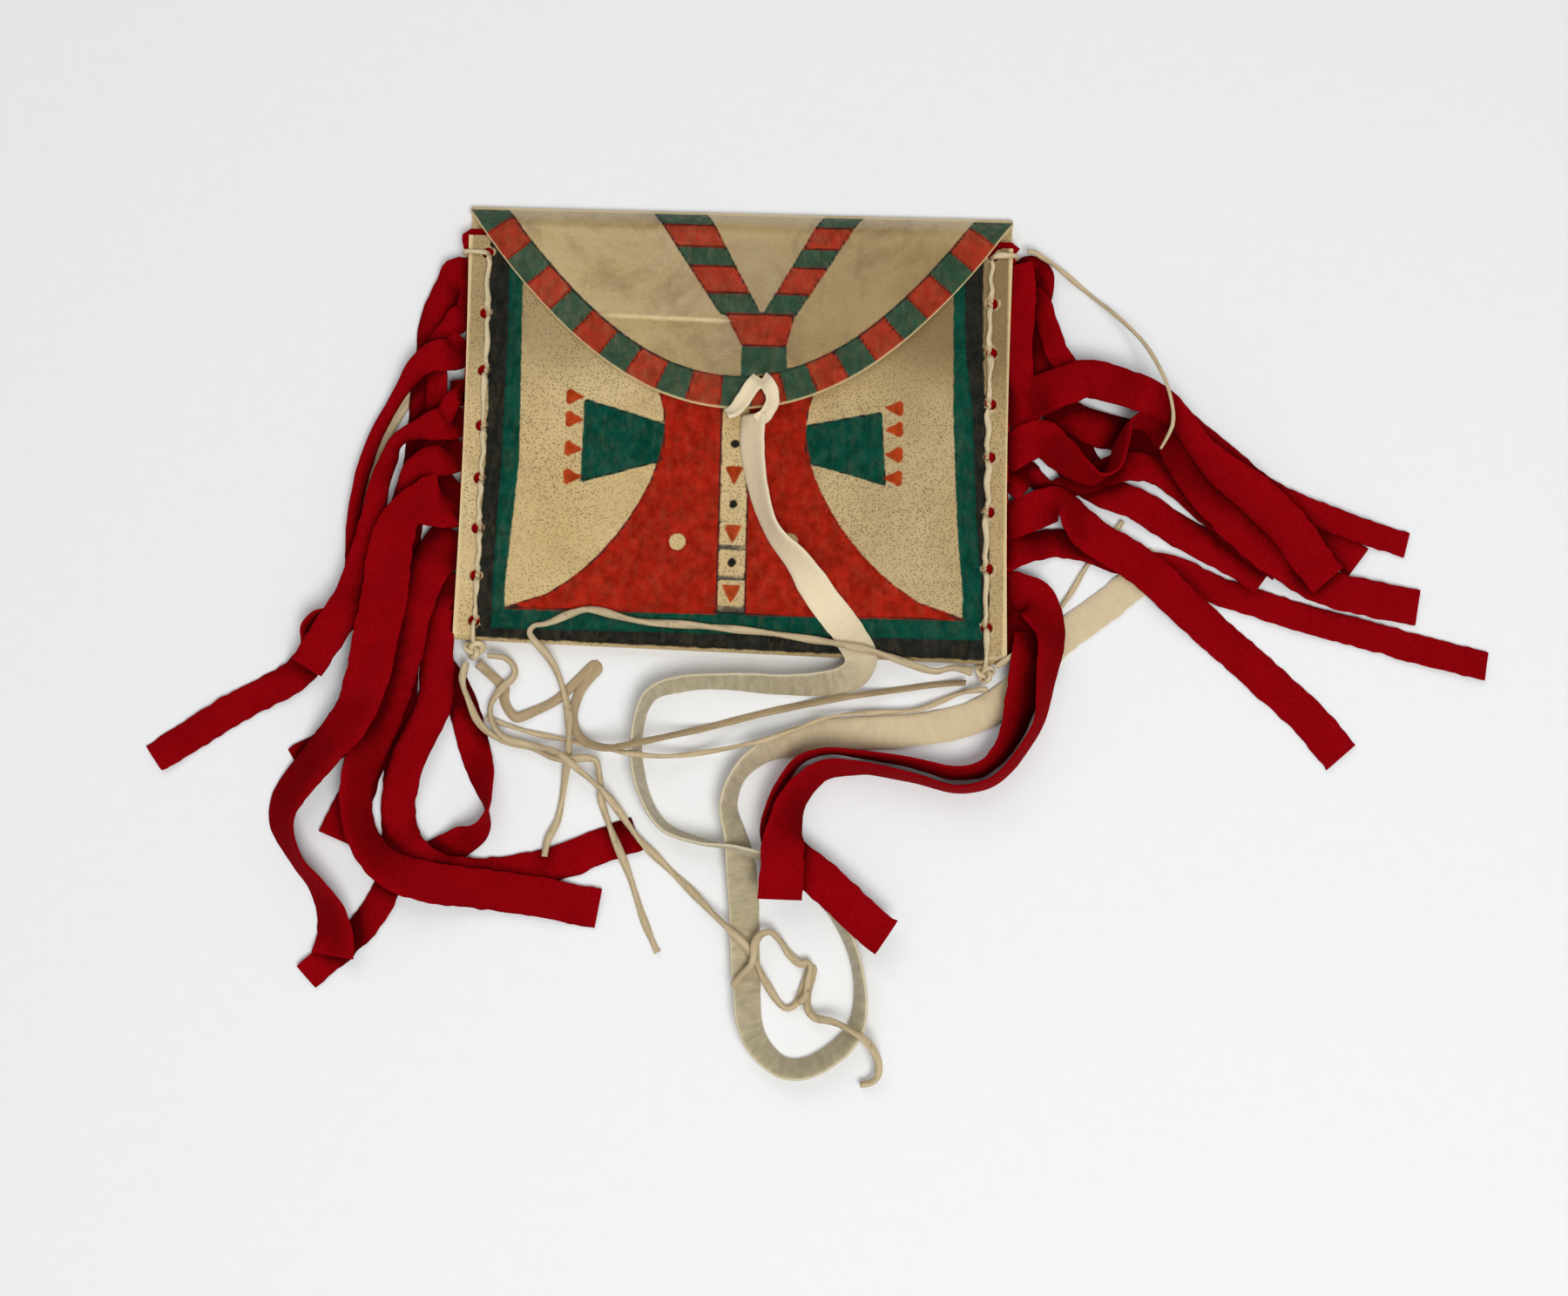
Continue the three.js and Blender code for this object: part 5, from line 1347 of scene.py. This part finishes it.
def lacing_paths(s, side):
    """Centre lines of one seam's lacing: two running strands, the top wrap, the low loop and the knot."""
    x, edge = side * s.hole_x, side * s.half
    holes = hole_rows(s, side)
    top, low = holes[0], holes[-1]
    lift, rim = s.lace_d * 0.36, s.hole / 2

    def front(y):
        return float(front_mid(s, x, y)) + s.raw / 2

    def back(y):
        return float(back_mid(s, x, y)) - s.raw / 2

    def middle(y):
        return (front(y) + back(y)) / 2

    def there_and_back(hole, points, turn):
        """Out of a hole over the front, through the turn and over the back into the hole again."""
        start = (x, hole, middle(hole))
        over = [(px, py, front(hole) + rise) for px, py, rise in points]
        under = [(px, py, back(hole) - rise) for px, py, rise in points[::-1]]
        return [start] + over + turn + under + [start]

    paths = []
    for parity in (0, 1):
        aside = x - side * (0.75 if parity else 0.45)
        places = []
        for i, (a, b) in enumerate(zip(holes, holes[1:])):
            out, face = (1, front) if i % 2 == parity else (-1, back)
            sway = STITCH_SWAY[i % 4]
            down = [(a - rim + into, height) for into, height in STITCH]
            up = [(b + rim - into, height) for into, height in STITCH[::-1]]
            kinks = (0, 0, 0, sway, -sway, sway, 0, 0, 0)
            for (y, height), kink in zip(down + [((a + b) / 2, 1.0)] + up, kinks):
                places.append((aside + kink, y, face(y) + out * lift * height))
        paths.append(places)
    wrap = [(x + side * 0.8, top, 0.2), (x + side * 2.2, top, lift), (edge - side * 0.3, top, lift),
            (edge + side * lift, top, -0.4)]
    paths.append(there_and_back(top, wrap, [(edge + side * lift * 1.1, top, middle(top))]))
    fy, fz, radius = (float(v) for v in fold_at(s, x))
    reach = radius + s.raw / 2 + lift
    around = [(x, fy + reach * math.cos(a), fz + reach * math.sin(a))
              for a in np.linspace(math.pi / 2, 1.5 * math.pi, 7)]
    paths.append(there_and_back(low, [(x, low - 0.8, 0.2), (x, low - 2.2, lift)], around))
    t = np.linspace(0, 2 * math.pi, 40)
    ky = fy - radius - s.raw / 2 - CLEAR - 2.2
    paths.append(np.stack([x + 0.85 * (np.sin(t) + 2 * np.sin(2 * t)),
                           ky + 0.75 * (np.cos(t) - 2 * np.cos(2 * t)), fz - 1.3 * np.sin(3 * t)], 1))
    return paths


class ENVELOPE_OT_loose_laces(bpy.types.Operator):
    """Model the loose ends of the lacing and the sinew"""

    bl_idname = "envelope.loose_laces"
    bl_label = "Loose laces"

    def execute(self, context):
        s = settings()
        finishes = {
            "lace": lace_material("loose_rawhide_lace", s, strength=0.84, fleck=0.6, warm=0.97),
            "sinew": lace_material("dry_sinew", s, strength=0.9, fleck=0.25, warm=0.96),
            "strip": lace_material("brown_strip", s, strength=0.64, fleck=0.5, warm=0.9),
        }
        for index, (name, kind, _, _) in enumerate(LOOSE_LACES):
            rng = np.random.default_rng(LOOSE_SEED + index)
            wide, thin = lace_size(s, kind)
            centres, far = layout(s)[name]
            broad, turns = wide, 0 if kind == "strip" else LACE_TWIST
            if name == "left_sinew_top":
                broad, turns = mix(3.3, 1.1, smooth(far, 45, 82))[:, None], 0
            elif name == "right_sinew_top":
                broad = mix(1.5, 0.9, far / far[-1])[:, None]
            tube = twisted_tube(centres, far, broad, thin, turns, rng, sides=14, rough=0.06)
            cord = mesh_object(f"loose_{name}", *tube)
            dress(cord, finishes[kind])
            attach(cord, "envelope")
            if name not in ADDED_LACES:
                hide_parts(name)
        return {"FINISHED"}


class ENVELOPE_OT_stage(bpy.types.Operator):
    """Set up the floor, the soft light and the camera"""

    bl_idname = "envelope.stage"
    bl_label = "Stage"

    def execute(self, context):
        s = settings()
        scene = context.scene
        scene.view_settings.view_transform = "Standard"
        activate()
        bpy.ops.mesh.primitive_plane_add(size=6, location=(0, 0, -0.00005))
        floor = context.object
        floor.name = "floor"
        bpy.ops.object.transform_apply(location=True, rotation=True, scale=True)
        dress(floor, floor_material(s))
        el, az = s.stage.elevation, s.stage.azimuth
        right = Vector((math.cos(az), math.sin(az), 0))
        ground = Vector((-math.sin(az), math.cos(az), 0))
        back = Vector((0, 0, math.sin(el))) - ground * math.cos(el)
        up = back.cross(right)
        target = Vector(TARGET)
        camera = bpy.data.objects.new("camera", bpy.data.cameras.new("camera"))
        scene.collection.objects.link(camera)
        camera.data.lens = s.stage.lens
        camera.data.sensor_width = 36
        camera.data.clip_start = 0.01
        turn = Matrix((right, up, back)).transposed().to_4x4()
        camera.matrix_world = Matrix.Translation(target + back * s.stage.distance) @ turn
        scene.camera = camera
        for name, place, size, share in LAMPS:
            lamp = bpy.data.lights.new(name, "AREA")
            lamp.size = size
            lamp.energy = s.stage.lamp * share
            light = bpy.data.objects.new(name, lamp)
            light.location = place
            light.rotation_euler = (target - Vector(place)).to_track_quat("-Z", "Y").to_euler()
            scene.collection.objects.link(light)
        world = bpy.data.worlds.new("studio")
        scene.world = world
        world.use_nodes = True
        shade = world.node_tree.nodes["Background"]
        shade.inputs["Color"].default_value = SKY
        shade.inputs["Strength"].default_value = SKY_STRENGTH
        return {"FINISHED"}


class ENVELOPE_PT_panel(bpy.types.Panel):
    """Lists the steps of the envelope and its settings"""

    bl_label = "Rawhide envelope"
    bl_idname = "ENVELOPE_PT_panel"
    bl_space_type = "VIEW_3D"
    bl_region_type = "UI"
    bl_category = "Envelope"

    def draw(self, context):
        for operator in OPERATORS:
            self.layout.operator(operator.bl_idname)
        for name, group in SETTINGS.items():
            box = self.layout.box()
            for key in group.__annotations__:
                box.prop(getattr(context.scene, name), key)


SETTINGS = {
    "envelope_hide": HideSettings,
    "envelope_fringe": FringeSettings,
    "envelope_lace": LaceSettings,
    "envelope_stage": StageSettings,
}
OPERATORS = (ENVELOPE_OT_stage, ENVELOPE_OT_tie, ENVELOPE_OT_fringe, ENVELOPE_OT_loose_laces,
             ENVELOPE_OT_lacing, ENVELOPE_OT_sheet, ENVELOPE_OT_flap)


def register():
    for cls in (*SETTINGS.values(), *OPERATORS, ENVELOPE_PT_panel):
        bpy.utils.register_class(cls)
    for name, group in SETTINGS.items():
        setattr(bpy.types.Scene, name, PointerProperty(type=group))


def unregister():
    for name in SETTINGS:
        delattr(bpy.types.Scene, name)
    for cls in (ENVELOPE_PT_panel, *reversed(OPERATORS), *reversed(SETTINGS.values())):
        bpy.utils.unregister_class(cls)


def main():
    register()
    for operator in OPERATORS:
        group, name = operator.bl_idname.split(".")
        getattr(getattr(bpy.ops, group), name)()


if __name__ == "__main__":
    main()
